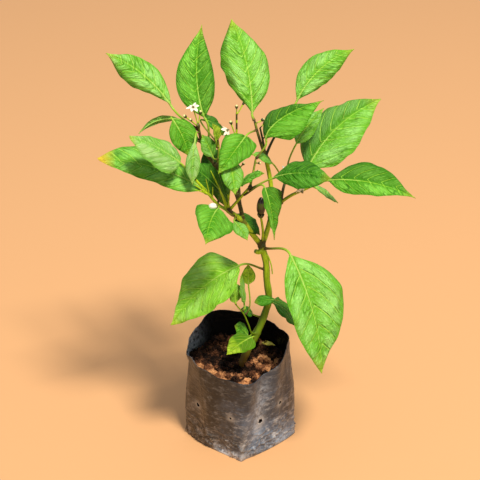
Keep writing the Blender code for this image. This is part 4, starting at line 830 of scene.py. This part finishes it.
def chilliLeaf(name, tone):
    # Living chilli leaf: soft green tissue under a thin waxy cuticle. It lets light through, and its veins and
    # midrib are lighter than the blade. Its pale sheen along the ridges is painted highlight, and it is darker
    # in puckers, creases and crumples, at turned-down edges and on halves in shade, painted shade.
    material, tree, shader, output = newMaterial(name)
    where = addNode(tree, "TexCoord").outputs["Object"]
    veinMap = addNode(tree, "Attribute", attribute_name="veinMap").outputs["Vector"]
    veins = addNode(tree, "SeparateXYZ", {0: veinMap})
    blade = addNode(tree, "SeparateXYZ",
                    {0: addNode(tree, "Attribute", attribute_name="bladeMap").outputs["Vector"]})
    # 17 mm patches
    patch = addNode(tree, "TexNoise", {"Vector": where, "Scale": 60.0, "Detail": 4.0, "Roughness": 0.6})
    fine = addNode(tree, "TexNoise", {"Vector": where, "Scale": 900.0, "Detail": 3.0, "Roughness": 0.6})
    shaky = addNode(tree, "Math", {0: patch, 1: 0.16, 2: veins.outputs[0]}, operation="MULTIPLY_ADD")
    # 0.5 on a side vein, 0 between two
    strand = addNode(tree, "Math", {0: shaky, 1: 0.5}, operation="PINGPONG")
    grain = addNode(tree, "VectorMath", {0: veinMap, 1: (0.016, 0.0008, 0.0)}, operation="MULTIPLY")
    drift = addNode(tree, "VectorMath", {0: where, 1: (0.0, 0.0, 0.3), 2: grain}, operation="MULTIPLY_ADD")
    # 3 mm, along veins
    weave = addNode(tree, "TexNoise", {"Vector": drift, "Scale": 330.0, "Detail": 4.0, "Roughness": 0.6})
    bent = addNode(tree, "Mix", {0: 0.004, 4: drift, 5: weave.outputs[1]}, data_type="VECTOR")
    # 3.5 mm vein meshes
    cells = addNode(tree, "TexVoronoi", {"Vector": bent, "Scale": 290.0}, feature="DISTANCE_TO_EDGE")
    cells = addNode(tree, "MapRange", {0: cells, 1: 0.0, 2: 0.3})
    inside = addNode(tree, "MapRange", {0: blade.outputs[0], 1: 0.97, 2: 0.72})
    thread = addNode(tree, "ValToRGB", {0: strand}, stops=((0.455, 0.0), (0.488, 1.0)))
    thread = addNode(tree, "Math", {0: thread, 1: inside}, operation="MULTIPLY")
    # relief: painted sheen, painted shade in puckers, and painted shade on turned-down edges and shaded halves
    relief = addNode(tree, "SeparateXYZ",
                     {0: addNode(tree, "Attribute", attribute_name="relief").outputs["Vector"]})
    # 0.75 mm at most
    ribWidth = addNode(tree, "ValToRGB", {0: veins.outputs[2]}, stops=((0.0, 1.0), (1.0, 0.0), (0.25, 0.5)))
    ribWidth = addNode(tree, "Math", {0: ribWidth, 1: 0.75}, operation="MULTIPLY")
    ribReach = addNode(tree, "Math", {0: ribWidth, 1: veins.outputs[1]}, operation="SUBTRACT")
    rib = addNode(tree, "MapRange", {0: ribReach, 1: -0.3, 2: 0.3, 4: 0.8})
    value = addNode(tree, "Math", {0: patch, 1: 0.35}, operation="MULTIPLY")
    # painted sheen: relief's first channel pales the blade towards the light tone
    value = addNode(tree, "Math", {0: relief.outputs[0], 1: 0.65, 2: value}, operation="MULTIPLY_ADD")
    value = addNode(tree, "Math", {0: weave, 1: 0.16, 2: value}, operation="MULTIPLY_ADD")
    value = addNode(tree, "Math", {0: fine, 1: 0.15, 2: value}, operation="MULTIPLY_ADD")
    value = addNode(tree, "Math", {0: cells, 1: 0.3, 2: value}, operation="MULTIPLY_ADD")
    value = addNode(tree, "MapRange", {0: value, 1: 0.42, 2: 1.14})
    colour = addNode(tree, "Mix", {0: value, 6: tone["blade"], 7: tone["light"]}, data_type="RGBA")
    # painted shade: thin dark creases beside the side veins, which also dent the bump
    beside = addNode(tree, "Math", {0: shaky, 1: 0.07}, operation="ADD")
    beside = addNode(tree, "Math", {0: beside, 1: 0.5}, operation="PINGPONG")
    crease = addNode(tree, "ValToRGB", {0: beside}, stops=((0.455, 0.0), (0.49, 1.0)))
    broken = addNode(tree, "Math", {0: weave, 1: 0.15, 2: patch}, operation="MULTIPLY_ADD")
    broken = addNode(tree, "MapRange", {0: broken, 1: 0.57, 2: 0.49})  # creases come and go
    crease = addNode(tree, "Math", {0: crease, 1: broken}, operation="MULTIPLY")
    crease = addNode(tree, "Math", {0: crease, 1: inside}, operation="MULTIPLY")
    # painted shade: dark crumples in some patches
    zone = addNode(tree, "MapRange", {0: patch, 1: 0.52, 2: 0.4})
    paintedCrumpleShade = addNode(tree, "MapRange", {0: weave, 1: 0.45, 2: 0.34, 4: 0.7})
    paintedCrumpleShade = addNode(tree, "Math", {0: paintedCrumpleShade, 1: zone}, operation="MULTIPLY")
    # painted shade: the darkest of puckers, crumples, creases, turned-down edges and shaded halves
    dark = addNode(tree, "Math", {0: relief.outputs[1], 1: 0.6}, operation="MULTIPLY")
    dark = addNode(tree, "Math", {0: paintedCrumpleShade, 1: dark}, operation="MAXIMUM")
    paintedCreaseShade = addNode(tree, "Math", {0: crease, 1: 0.68}, operation="MULTIPLY")
    dark = addNode(tree, "Math", {0: paintedCreaseShade, 1: dark}, operation="MAXIMUM")
    dark = addNode(tree, "Math", {0: relief.outputs[2], 1: dark}, operation="MAXIMUM")
    colour = addNode(tree, "Mix", {0: dark, 6: colour, 7: tone["deep"]}, data_type="RGBA")
    thread = addNode(tree, "Math", {0: thread, 1: 0.65}, operation="MULTIPLY")
    colour = addNode(tree, "Mix", {0: thread, 6: colour, 7: tone["vein"]}, data_type="RGBA")
    ribTone = addNode(tree, "ValToRGB", {0: veins.outputs[2]}, stops=((0.0, "#b9dc46"), (0.7, tone["vein"])))
    colour = addNode(tree, "Mix", {0: rib, 6: colour, 7: ribTone}, data_type="RGBA")
    ripe = addNode(tree, "Math", {0: patch, 1: 0.1, 2: veins.outputs[2]}, operation="MULTIPLY_ADD")
    ripe = addNode(tree, "MapRange", {0: ripe, 1: 0.88, 2: 1.02, 4: tone.get("tip", 0.25)})
    colour = addNode(tree, "Mix", {0: ripe, 6: colour, 7: "#dcc23a"}, data_type="RGBA")
    pale = addNode(tree, "Math", {0: blade.outputs[1], 1: 0.45}, operation="MULTIPLY")
    colour = addNode(tree, "Mix", {0: pale, 6: colour, 7: "#93bd6c"}, data_type="RGBA")
    stalk = addNode(tree, "ValToRGB", {0: blade.outputs[2]},
                    stops=((0.1, "#9cc83a"), (1.0, "#3f2a26"), (0.5, "#8aa436"), (0.85, "#625628")))
    onStalk = addNode(tree, "MapRange", {0: blade.outputs[2], 1: 0.0, 2: 0.06})
    colour = addNode(tree, "Mix", {0: onStalk, 6: colour, 7: stalk}, data_type="RGBA")
    height = addNode(tree, "Math", {0: weave, 1: 0.9}, operation="MULTIPLY")
    height = addNode(tree, "Math", {0: crease, 1: -0.5, 2: height}, operation="MULTIPLY_ADD")
    height = addNode(tree, "Math", {0: cells, 1: 0.5, 2: height}, operation="MULTIPLY_ADD")
    height = addNode(tree, "Math", {0: fine, 1: 0.25, 2: height}, operation="MULTIPLY_ADD")
    bump = addNode(tree, "Bump", {"Height": height, "Strength": 0.9, "Distance": 0.0013})
    rough = addNode(tree, "MapRange", {0: fine, 1: 0.3, 2: 0.7, 3: 0.42, 4: 0.56})
    setInputs(tree, shader, {"Base Color": colour, "Roughness": rough, "Normal": bump, "IOR": 1.45,
                             "Specular IOR Level": 0.28})
    through = addNode(tree, "BsdfTranslucent", {"Color": colour.outputs[2], "Normal": bump})
    both = addNode(tree, "MixShader", {0: 0.28, 1: shader, 2: through})
    tree.links.new(both.outputs[0], output.inputs[0])
    return material


def pair(value):
    # one value for both halves of a blade, or its own two
    return value if isinstance(value, tuple) else (value, value)


def halfWidth(t, belly, point):
    # outline of half a blade, t^belly * (1 - t)^point, scaled to 1 at its widest and drawn in at tip and base
    widest = belly / (belly + point)
    drawn = (1 - 0.3 * np.exp(-((1 - t) / 0.13) ** 2)) * (1 - 0.35 * np.exp(-(t / 0.09) ** 2))
    return t**belly * (1 - t) ** point / (widest**belly * (1 - widest) ** point) * drawn


def bladeFrame(leaf, t):
    # midrib points, its direction, and the blade's sideways and upward directions at shares t of it: a
    # straight line with a parabolic arch, 4u(1 - u), up and to the side
    turn, rise, roll = (math.radians(leaf[key]) for key in ("turn", "rise", "roll"))
    axis = np.array([math.cos(rise) * math.cos(turn), math.cos(rise) * math.sin(turn), math.sin(rise)])
    levelUp = unit(up - axis[2] * axis)
    levelSide = np.cross(axis, levelUp)
    upward = levelUp * math.cos(roll) + levelSide * math.sin(roll)
    side = levelSide * math.cos(roll) - levelUp * math.sin(roll)

    def middle(t):
        early = t ** (math.log(0.5) / math.log(leaf["peak"]))
        hump = (4 * early * (1 - early))[:, None] * leaf["long"]
        return (np.asarray(leaf["base"], float) + (t * leaf["long"])[:, None] * axis
                + hump * (leaf["bow"] * upward + leaf["sway"] * side))

    way = unit(middle(np.minimum(t + 0.002, 1.0)) - middle(np.maximum(t - 0.002, 0.0)))
    ups = unit(upward - (way @ upward)[:, None] * way)
    return middle(t), way, np.cross(way, ups), ups


def bladeSheet(leaf, t, s, phase):
    # middle surface of a blade: midrib + half width * s along the fold, less curl * s^2, plus waves that grow
    # as |s|^1.5 to its edges, and a hem turned down; also the distance from the midrib, and the hem
    middle, _, side, ups = bladeFrame(leaf, t)
    (bellyLeft, bellyRight), (pointLeft, pointRight) = pair(leaf["belly"]), pair(leaf["point"])
    left = halfWidth(t, bellyLeft, pointLeft) * (1 - leaf["skew"])
    right = halfWidth(t, bellyRight, pointRight) * (1 + leaf["skew"])
    half = leaf["wide"] / 2 * np.where(s[None] < 0, left[:, None], right[:, None])
    half = np.maximum(half, (0.9 * (1 - t) ** 2 + 0.12)[:, None])
    fold = np.radians(np.where(s < 0, leaf["fold"][0], leaf["fold"][1]))[None]
    across = np.sqrt(s**2 + 0.004)[None] - math.sqrt(0.004)
    turns = 2 * math.pi * leaf["waves"] * t[:, None] + phase + np.where(s < 0, 1.9, 0)[None]
    wave = np.sin(turns) * across**1.5 + 0.3 * np.sin(2.6 * turns + 1) * across**4
    wave = wave * leaf["wave"] * leaf["wide"] / 2 * np.minimum(1, half / (0.15 * leaf["wide"]))
    sideways = half * s[None] * np.cos(fold)
    hem = np.where(s < 0, leaf["hem"][0], leaf["hem"][1])[None] * (0.8 + 0.2 * np.sin(1.7 * turns))
    hem = hem * np.clip((across - 0.66) / 0.34, 0, 1) ** 1.3
    upwards = half * (across * np.sin(fold) - leaf["curl"] * across**2 - hem) + wave
    points = middle[:, None] + sideways[..., None] * side[:, None] + upwards[..., None] * ups[:, None]
    return points, half * np.abs(s)[None], hem


def leafBlade(leaf, phase):
    # the sheet with quilting, |cos(pi * vein phase)|^0.9 high between side veins that leave the midrib at an
    # angle, creased puckers along them, a groove along the midrib, and a thickness that thins to nothing at
    # the edge
    rows, columns, count = next(grid[1:] for grid in leafGrids if leaf["long"] > grid[0])
    t = np.linspace(0, 1, rows + 1)
    # a narrow last row keeps the edge crisp
    s = np.concatenate([[-1], np.linspace(-0.99, 0.99, columns - 1), [1]])
    sheet, across, hem = bladeSheet(leaf, t, s, phase)
    normal = unit(np.cross(np.gradient(sheet, axis=1), np.gradient(sheet, axis=0)))
    ups = bladeFrame(leaf, t)[3]
    normal = normal * np.sign((normal * ups[:, None]).sum(-1, keepdims=True))
    onward, outward = t[:, None] + 0 * s, np.abs(s) + 0 * t[:, None]
    veins = count * (onward**0.9 - across / leaf["long"] * (0.8 + 0.55 * across / (leaf["wide"] / 2)))
    veins = veins + 0.42 * ease(0, 3, across) * (s < 0) + 0.1
    ends = ease(0, 0.1, onward) * ease(1, 0.85, onward)
    calm = ease(0, 0.2, outward) * ease(1.0, 0.8, outward) * ends
    quilt = 0.007 * leaf["wide"] + 0.2
    number = np.floor(veins)
    depth = 0.2 + 0.8 * np.clip(np.sin(12.9 * number + 7.3 * (s < 0) + phase), 0, 1)
    groove = depth * np.exp(-((veins - number - 0.5) / 0.12) ** 2) * ease(1.0, 0.8, outward) * ends
    apart = 25.0 * (s > 0) + phase + 0 * across  # each half has its own pattern
    cloth = np.stack([veins * leaf["long"] / count, 0.5 * across, apart], axis=-1)
    high = (np.cos(math.pi * veins) ** 2) ** 0.45
    pucker = creases(cloth, 8, 41, 0.3) * ease(-0.2, 1.0, ripple(sheet, 24, 43))
    relief = 0.45 * (2 * high - 1.1) + 0.45 * ripple(sheet, 16, 40) - 0.9 * pucker
    relief = relief + 0.25 * ripple(cloth, 6, 42)
    relief = quilt * calm * relief - (0.1 + 0.004 * leaf["wide"]) * groove
    # painted sheen: pale where the quilting swells between side veins, away from the midrib and edge
    paintedSheen = (0.25 + 0.75 * high) * ease(0.02, 0.4, outward) * ease(1.0, 0.7, outward) * ends
    paintedSheen = np.clip(paintedSheen * (0.8 + 0.3 * ripple(sheet, 30, 44)) - 0.3 * pucker, 0, 1)
    # painted shade on each half, as set by dim, as far along as dimTo
    dim = np.where(s < 0, leaf["dim"][0], leaf["dim"][1])[None] * ease(0, 0.12, outward) * (1 - 0.5 * onward)
    dim = dim * ease(leaf["dimTo"] + 0.06, leaf["dimTo"] - 0.06, onward + 0.12 * s)
    # painted shade on turned-down edges and on shaded halves
    paintedShade = np.clip(np.maximum(1.6 * hem, dim), 0, 0.85)
    # the relief mark: painted sheen, painted shade in puckers, painted shade on edges and halves
    shade = np.stack([paintedSheen, np.clip(pucker * calm, 0, 1), paintedShade], axis=-1)
    relief -= 0.5 * np.exp(-(across / 1.3) ** 2) * (1 - onward)
    thick = (0.3 + 0.5 * np.exp(-(across / 1.8) ** 2)) * (1 - outward**8) / 2
    top, bottom = (sheet + normal * (relief + sign * thick)[..., None] for sign in (1, -1))
    veinMap = np.stack([veins, across, onward], axis=-1)
    wrap = lambda upper, lower: np.concatenate([upper, lower[:, -2:0:-1]], axis=1)
    bladeTop, bladeBottom = (np.stack([outward, outward * 0 + under, outward * 0], axis=-1)
                             for under in (0.0, 1.0))
    return skin(wrap(top, bottom), veinMap=wrap(veinMap, veinMap), bladeMap=wrap(bladeTop, bladeBottom),
                relief=wrap(shade, shade))


def leafStalk(leaf):
    # stalk: a Bezier from inside its branch to the blade, swollen at its foot, that runs on under the blade
    # as the tapering midrib
    at, branch, radius = spot(leaf["foot"])
    t = np.linspace(0, 0.95, 40)
    ribs, ways, _, ups = bladeFrame(leaf, t)
    leaving = unit(np.asarray(leaf["out"], float)) if leaf["out"] else unit(ribs[0] - at)
    shared = leaving @ branch
    start = at + unit(leaving - shared * branch) * 0.5 * radius if abs(shared) < 0.97 else at
    reach = np.linalg.norm(ribs[0] - start)
    ends = [start, start + leaving * reach * 0.35, ribs[0] - ways[0] * reach * 0.35, ribs[0] - 0.5 * ups[0]]
    u = np.linspace(0, 1, 26)[:-1, None]
    rest = 1 - u
    stalk = rest**3 * ends[0] + 3 * u * rest**2 * ends[1] + 3 * u**2 * rest * ends[2] + u**3 * ends[3]
    girth = 0.6 + 0.0045 * leaf["long"]
    swollen = girth * (1 + 0.5 * np.exp(-(u[:, 0] * reach / 3.5) ** 2))
    rib = girth * (1 - t) ** 0.8 + 0.12
    path = np.concatenate([stalk, ribs - (0.3 + 0.45 * rib)[:, None] * ups])
    veinMap = np.zeros((len(path), 3))
    veinMap[len(u):, 2] = t
    bladeMap = np.zeros((len(path), 3))
    bladeMap[:, 1] = np.concatenate([0 * u[:, 0], 1 + 0 * t])
    bladeMap[:len(u), 2] = 1 - u[:, 0]
    # the stalk's relief mark is half painted sheen and no painted shade
    return sweep(path, np.concatenate([swollen, rib]), 12, veinMap=veinMap, bladeMap=bladeMap,
                 relief=0 * veinMap + [0.5, 0, 0])


def makeLeaves():
    # each blade with its stalk is one piece; its number shifts its waves
    skins = {name: chilliLeaf(name + "ChilliLeaf", tone) for name, tone in leafTones.items()}
    for number, (name, own) in enumerate(leaves.items()):
        leaf = {**leafDefaults, **own}
        mesh = toMesh("blade_" + name, [leafBlade(leaf, 1.7 * number), leafStalk(leaf)])
        place("blade_" + name, mesh, skins[leaf["tone"]], "leaf", "leaf_" + name)


makeLeaves()
print("leaves made")

# Flowers, the white bud, the fruit and the fallen leaf.
flowerShape = dict(petals=6, sheet=0.35, notch=0.42, antherLength=2.4)
fruitShape = dict(radius=3.9, length=18.0, lift=1.8)
fallenLeaf = dict(base=(20, 27, 0), turn=-20, rise=0, long=14, wide=8, bow=0.12, curl=0.25, belly=0.8)


def petalTissue():
    # Chilli petals: thin white tissue, slightly waxy, greenish at the heart.
    material, tree, shader, output = newMaterial("petalTissue")
    where = addNode(tree, "TexCoord").outputs["Object"]
    share = addNode(tree, "Attribute", attribute_name="share")
    mottle = addNode(tree, "TexNoise", {"Vector": where, "Scale": 600.0, "Detail": 3.0})
    colour = addNode(tree, "ValToRGB", {0: share.outputs["Fac"]}, stops=((0.1, "#cdd78a"), (0.45, "#f4f2e4")))
    bump = addNode(tree, "Bump", {"Height": mottle, "Strength": 0.3, "Distance": 0.0003})
    setInputs(tree, shader, {"Base Color": colour, "Normal": bump, "Roughness": 0.55})
    through = addNode(tree, "BsdfTranslucent", {"Color": colour.outputs[0]})
    both = addNode(tree, "MixShader", {0: 0.25, 1: shader, 2: through})
    tree.links.new(both.outputs[0], output.inputs[0])
    return material


def antherPollen():
    # Anthers: dry sacs, blue-grey, dusted with yellow pollen.
    material, tree, shader, _ = newMaterial("antherPollen")
    where = addNode(tree, "TexCoord").outputs["Object"]
    dust = addNode(tree, "TexNoise", {"Vector": where, "Scale": 1500.0, "Detail": 2.0})
    colour = addNode(tree, "ValToRGB", {0: dust}, stops=((0.4, "#5f6468"), (0.7, "#c9b557")))
    setInputs(tree, shader, {"Base Color": colour, "Roughness": 0.8})
    return material


def darkFruitSkin():
    # Unripe dark chilli: thick glossy skin over firm flesh, nearly black, with green showing low down.
    material, tree, shader, _ = newMaterial("darkFruitSkin")
    where = addNode(tree, "TexCoord").outputs["Object"]
    patch = addNode(tree, "TexNoise", {"Vector": where, "Scale": 180.0, "Detail": 3.0})
    height = addNode(tree, "SeparateXYZ", {0: where})
    low = addNode(tree, "MapRange", {0: height.outputs[2], 1: 0.238, 2: 0.262, 3: 0.35, 4: 0.0})
    tone = addNode(tree, "Math", {0: patch, 1: low}, operation="ADD")
    colour = addNode(tree, "ValToRGB", {0: tone},
                     stops=((0.45, "#150e11"), (0.9, "#3d4a18"), (0.62, "#241a14")))
    bump = addNode(tree, "Bump", {"Height": patch, "Strength": 0.15, "Distance": 0.0008})
    setInputs(tree, shader, {"Base Color": colour, "Normal": bump, "Roughness": 0.16, "IOR": 1.48})
    return material


def witheredLeaf():
    # Fallen leaf: drying tissue, matt, yellow with brown edges.
    material, tree, shader, _ = newMaterial("witheredLeaf")
    where = addNode(tree, "TexCoord").outputs["Object"]
    blade = addNode(tree, "SeparateXYZ",
                    {0: addNode(tree, "Attribute", attribute_name="bladeMap").outputs["Vector"]})
    patch = addNode(tree, "TexNoise", {"Vector": where, "Scale": 350.0, "Detail": 4.0})
    tone = addNode(tree, "Math", {0: blade.outputs[0], 1: 0.5, 2: patch}, operation="MULTIPLY_ADD")
    colour = addNode(tree, "ValToRGB", {0: tone},
                     stops=((0.5, "#fff27a"), (1.0, "#8c6a2a"), (0.85, "#ecd850")))
    bump = addNode(tree, "Bump", {"Height": patch, "Strength": 0.5, "Distance": 0.0006})
    setInputs(tree, shader, {"Base Color": colour, "Normal": bump, "Roughness": 0.7})
    return material


def corolla(centre, facing, radius, back, seed):
    # star in polar form: reach falls from radius in a lobe's middle to notch * radius between lobes; it rises
    # as a shallow bowl, its tips turn back, and each lobe has a groove down its middle; the upper and lower
    # sheet join at the edge
    facing = unit(np.asarray(facing, float))
    side, third = aim(facing)
    petals, notch = flowerShape["petals"], flowerShape["notch"]
    a = np.arange(petals * 20) * 2 * math.pi / (petals * 20)
    lobe = np.abs((a * petals / (2 * math.pi)) % 1 - 0.5) * 2
    uneven = 1 + 0.1 * np.sin(3 * a + seed) + 0.06 * np.sin(2 * a + 2 * seed)
    reach = radius * uneven * (notch + (1 - notch) * (1 - lobe) ** 0.8)
    u = np.linspace(0.04, 1, 16)[:, None]
    groove = 0.35 * np.exp(-(lobe / 0.2) ** 2) * u * (1 - u**4)
    rise = radius * (0.5 * u - (0.25 + back) * u**2 * (1 - 0.5 * lobe)) - groove
    rise = rise + 0.12 * radius * u**3 * np.sin(2 * a + seed)
    spokes = np.cos(a)[:, None] * side + np.sin(a)[:, None] * third
    flat = np.asarray(centre, float) + (u * reach)[..., None] * spokes
    thick = flowerShape["sheet"] * (1 - 0.7 * u**6) / 2
    top, bottom = (flat + (rise - 0.3 + sign * thick)[..., None] * facing for sign in (1, -1))
    share = np.broadcast_to(u, rise.shape)
    return skin(np.concatenate([top, bottom[::-1]]), share=np.concatenate([share, share[::-1]]))


def makeFlowers():
    # a corolla for each open flower, with five anthers round its style, and the closed white bud
    tissue, pollen = petalTissue(), antherPollen()
    for number, (name, (_, centre, facing, radius, back)) in enumerate(flowers.items()):
        facing = unit(np.asarray(facing, float))
        side, third = aim(facing)
        mesh = toMesh("petals_" + name, [corolla(centre, facing, radius, back, number)])
        place("petals_" + name, mesh, tissue, "petal", "flower_" + name)
        turns = np.arange(5) * 2 * math.pi / 5 + number
        feet = np.asarray(centre) + 0.8 * (np.cos(turns)[:, None] * side + np.sin(turns)[:, None] * third)
        heart = np.asarray(centre)
        sacs = [egg(foot + facing * 1.4, facing + 0.12 * (foot - heart), 0.42, flowerShape["antherLength"],
                    sides=8, rows=7) for foot in feet]
        sacs.append(sweep(heart + np.linspace(-0.4, 3.2, 6)[:, None] * facing, [0.22] * 5 + [0.34], 8))
        place("anthers_" + name, toMesh("anthers_" + name, sacs), pollen, "petal", "flower_" + name)
    facing = unit(np.asarray(whiteBud["facing"], float))
    closed = egg(whiteBud["centre"], facing, whiteBud["radius"], whiteBud["radius"] * 2.5, sides=40, rows=22,
                 blunt=-0.12, lobes=5, depth=0.07)
    closed["marks"] = dict(share=np.ones((len(closed["points"]), 1)))
    place("closed_white_bud", toMesh("closed_white_bud", [closed]), tissue, "petal", "flower_bud")


def makeFruit():
    # blunt egg on its stalk, with three shallow lobes
    foot = np.array(branches["fruitStalk"][0][-1], float)
    middle = foot + up * (fruitShape["lift"] + fruitShape["length"] / 2)
    body = egg(middle, up, fruitShape["radius"], fruitShape["length"], sides=48, rows=34, blunt=0.18, lobes=3,
               depth=0.03)
    place("chilli_fruit", toMesh("chilli_fruit", [body]), darkFruitSkin(), "fruit", "fruit")


def makeFallenLeaf():
    # a small blade, lifted a little clear of the soil's surface, among its crumbs
    blade = leafBlade({**leafDefaults, **fallenLeaf}, 0.0)
    points = blade["points"]
    points[:, 2] += (soilHeight(points[:, 0], points[:, 1]) - points[:, 2]).max() + 1.2
    place("withered_leaf", toMesh("withered_leaf", [blade]), witheredLeaf(), "dry_leaf", "fallen_leaf")


makeFlowers()
makeFruit()
makeFallenLeaf()
print("flowers, fruit and fallen leaf made")

# The floor, light and camera.
studio = dict(floor="#c89a6c", fill="#fbfaff", fillStrength=0.56, keyColour="#fff2dd", keyPower=305.0,
              keySize=0.8, keyPlace=(0.96, -1.92, 4.0), lens=117.0, cameraPlace=(-0.00098, -1.2775, 0.8628),
              cameraTilt=63.0, sensor=36.0, floorHalf=9.0, keyTarget=(0, 0, 0.2))


def makeStudio():
    # a wide plain floor, tan like the photograph's ground, one key light high at the right front, an even
    # fill, and a camera at the photograph's angle
    mesh = bpy.data.meshes.new("floor")
    half = studio["floorHalf"]
    mesh.from_pydata([(-half, -half, 0), (half, -half, 0), (half, half, 0), (-half, half, 0)], [],
                     [(0, 1, 2, 3)])
    floor = bpy.data.objects.new("floor", mesh)
    bpy.context.scene.collection.objects.link(floor)
    material, tree, shader, _ = newMaterial("plainFloor")
    setInputs(tree, shader, {"Base Color": studio["floor"], "Roughness": 0.9})
    mesh.materials.append(material)
    world = bpy.data.worlds.new("fill")
    world.use_nodes = True
    background = world.node_tree.nodes["Background"]
    background.inputs[0].default_value = toLinear(studio["fill"])
    background.inputs[1].default_value = studio["fillStrength"]
    bpy.context.scene.world = world
    light = bpy.data.lights.new("key", "AREA")
    light.energy = studio["keyPower"]
    light.size = studio["keySize"]
    light.color = toLinear(studio["keyColour"])[:3]
    key = bpy.data.objects.new("key", light)
    key.location = studio["keyPlace"]
    aimed = np.array(studio["keyTarget"]) - studio["keyPlace"]
    tilt = math.acos(-aimed[2] / np.linalg.norm(aimed))
    key.rotation_euler = (tilt, 0, math.atan2(aimed[0], -aimed[1]) + math.pi)
    bpy.context.scene.collection.objects.link(key)
    camera = bpy.data.objects.new("camera", bpy.data.cameras.new("camera"))
    camera.data.lens = studio["lens"]
    camera.data.sensor_width = studio["sensor"]
    camera.location = studio["cameraPlace"]
    camera.rotation_euler = (math.radians(studio["cameraTilt"]), 0, 0)
    bpy.context.scene.collection.objects.link(camera)
    bpy.context.scene.camera = camera
    bpy.context.scene.view_settings.view_transform = "Standard"


makeStudio()
print("floor, light and camera made")
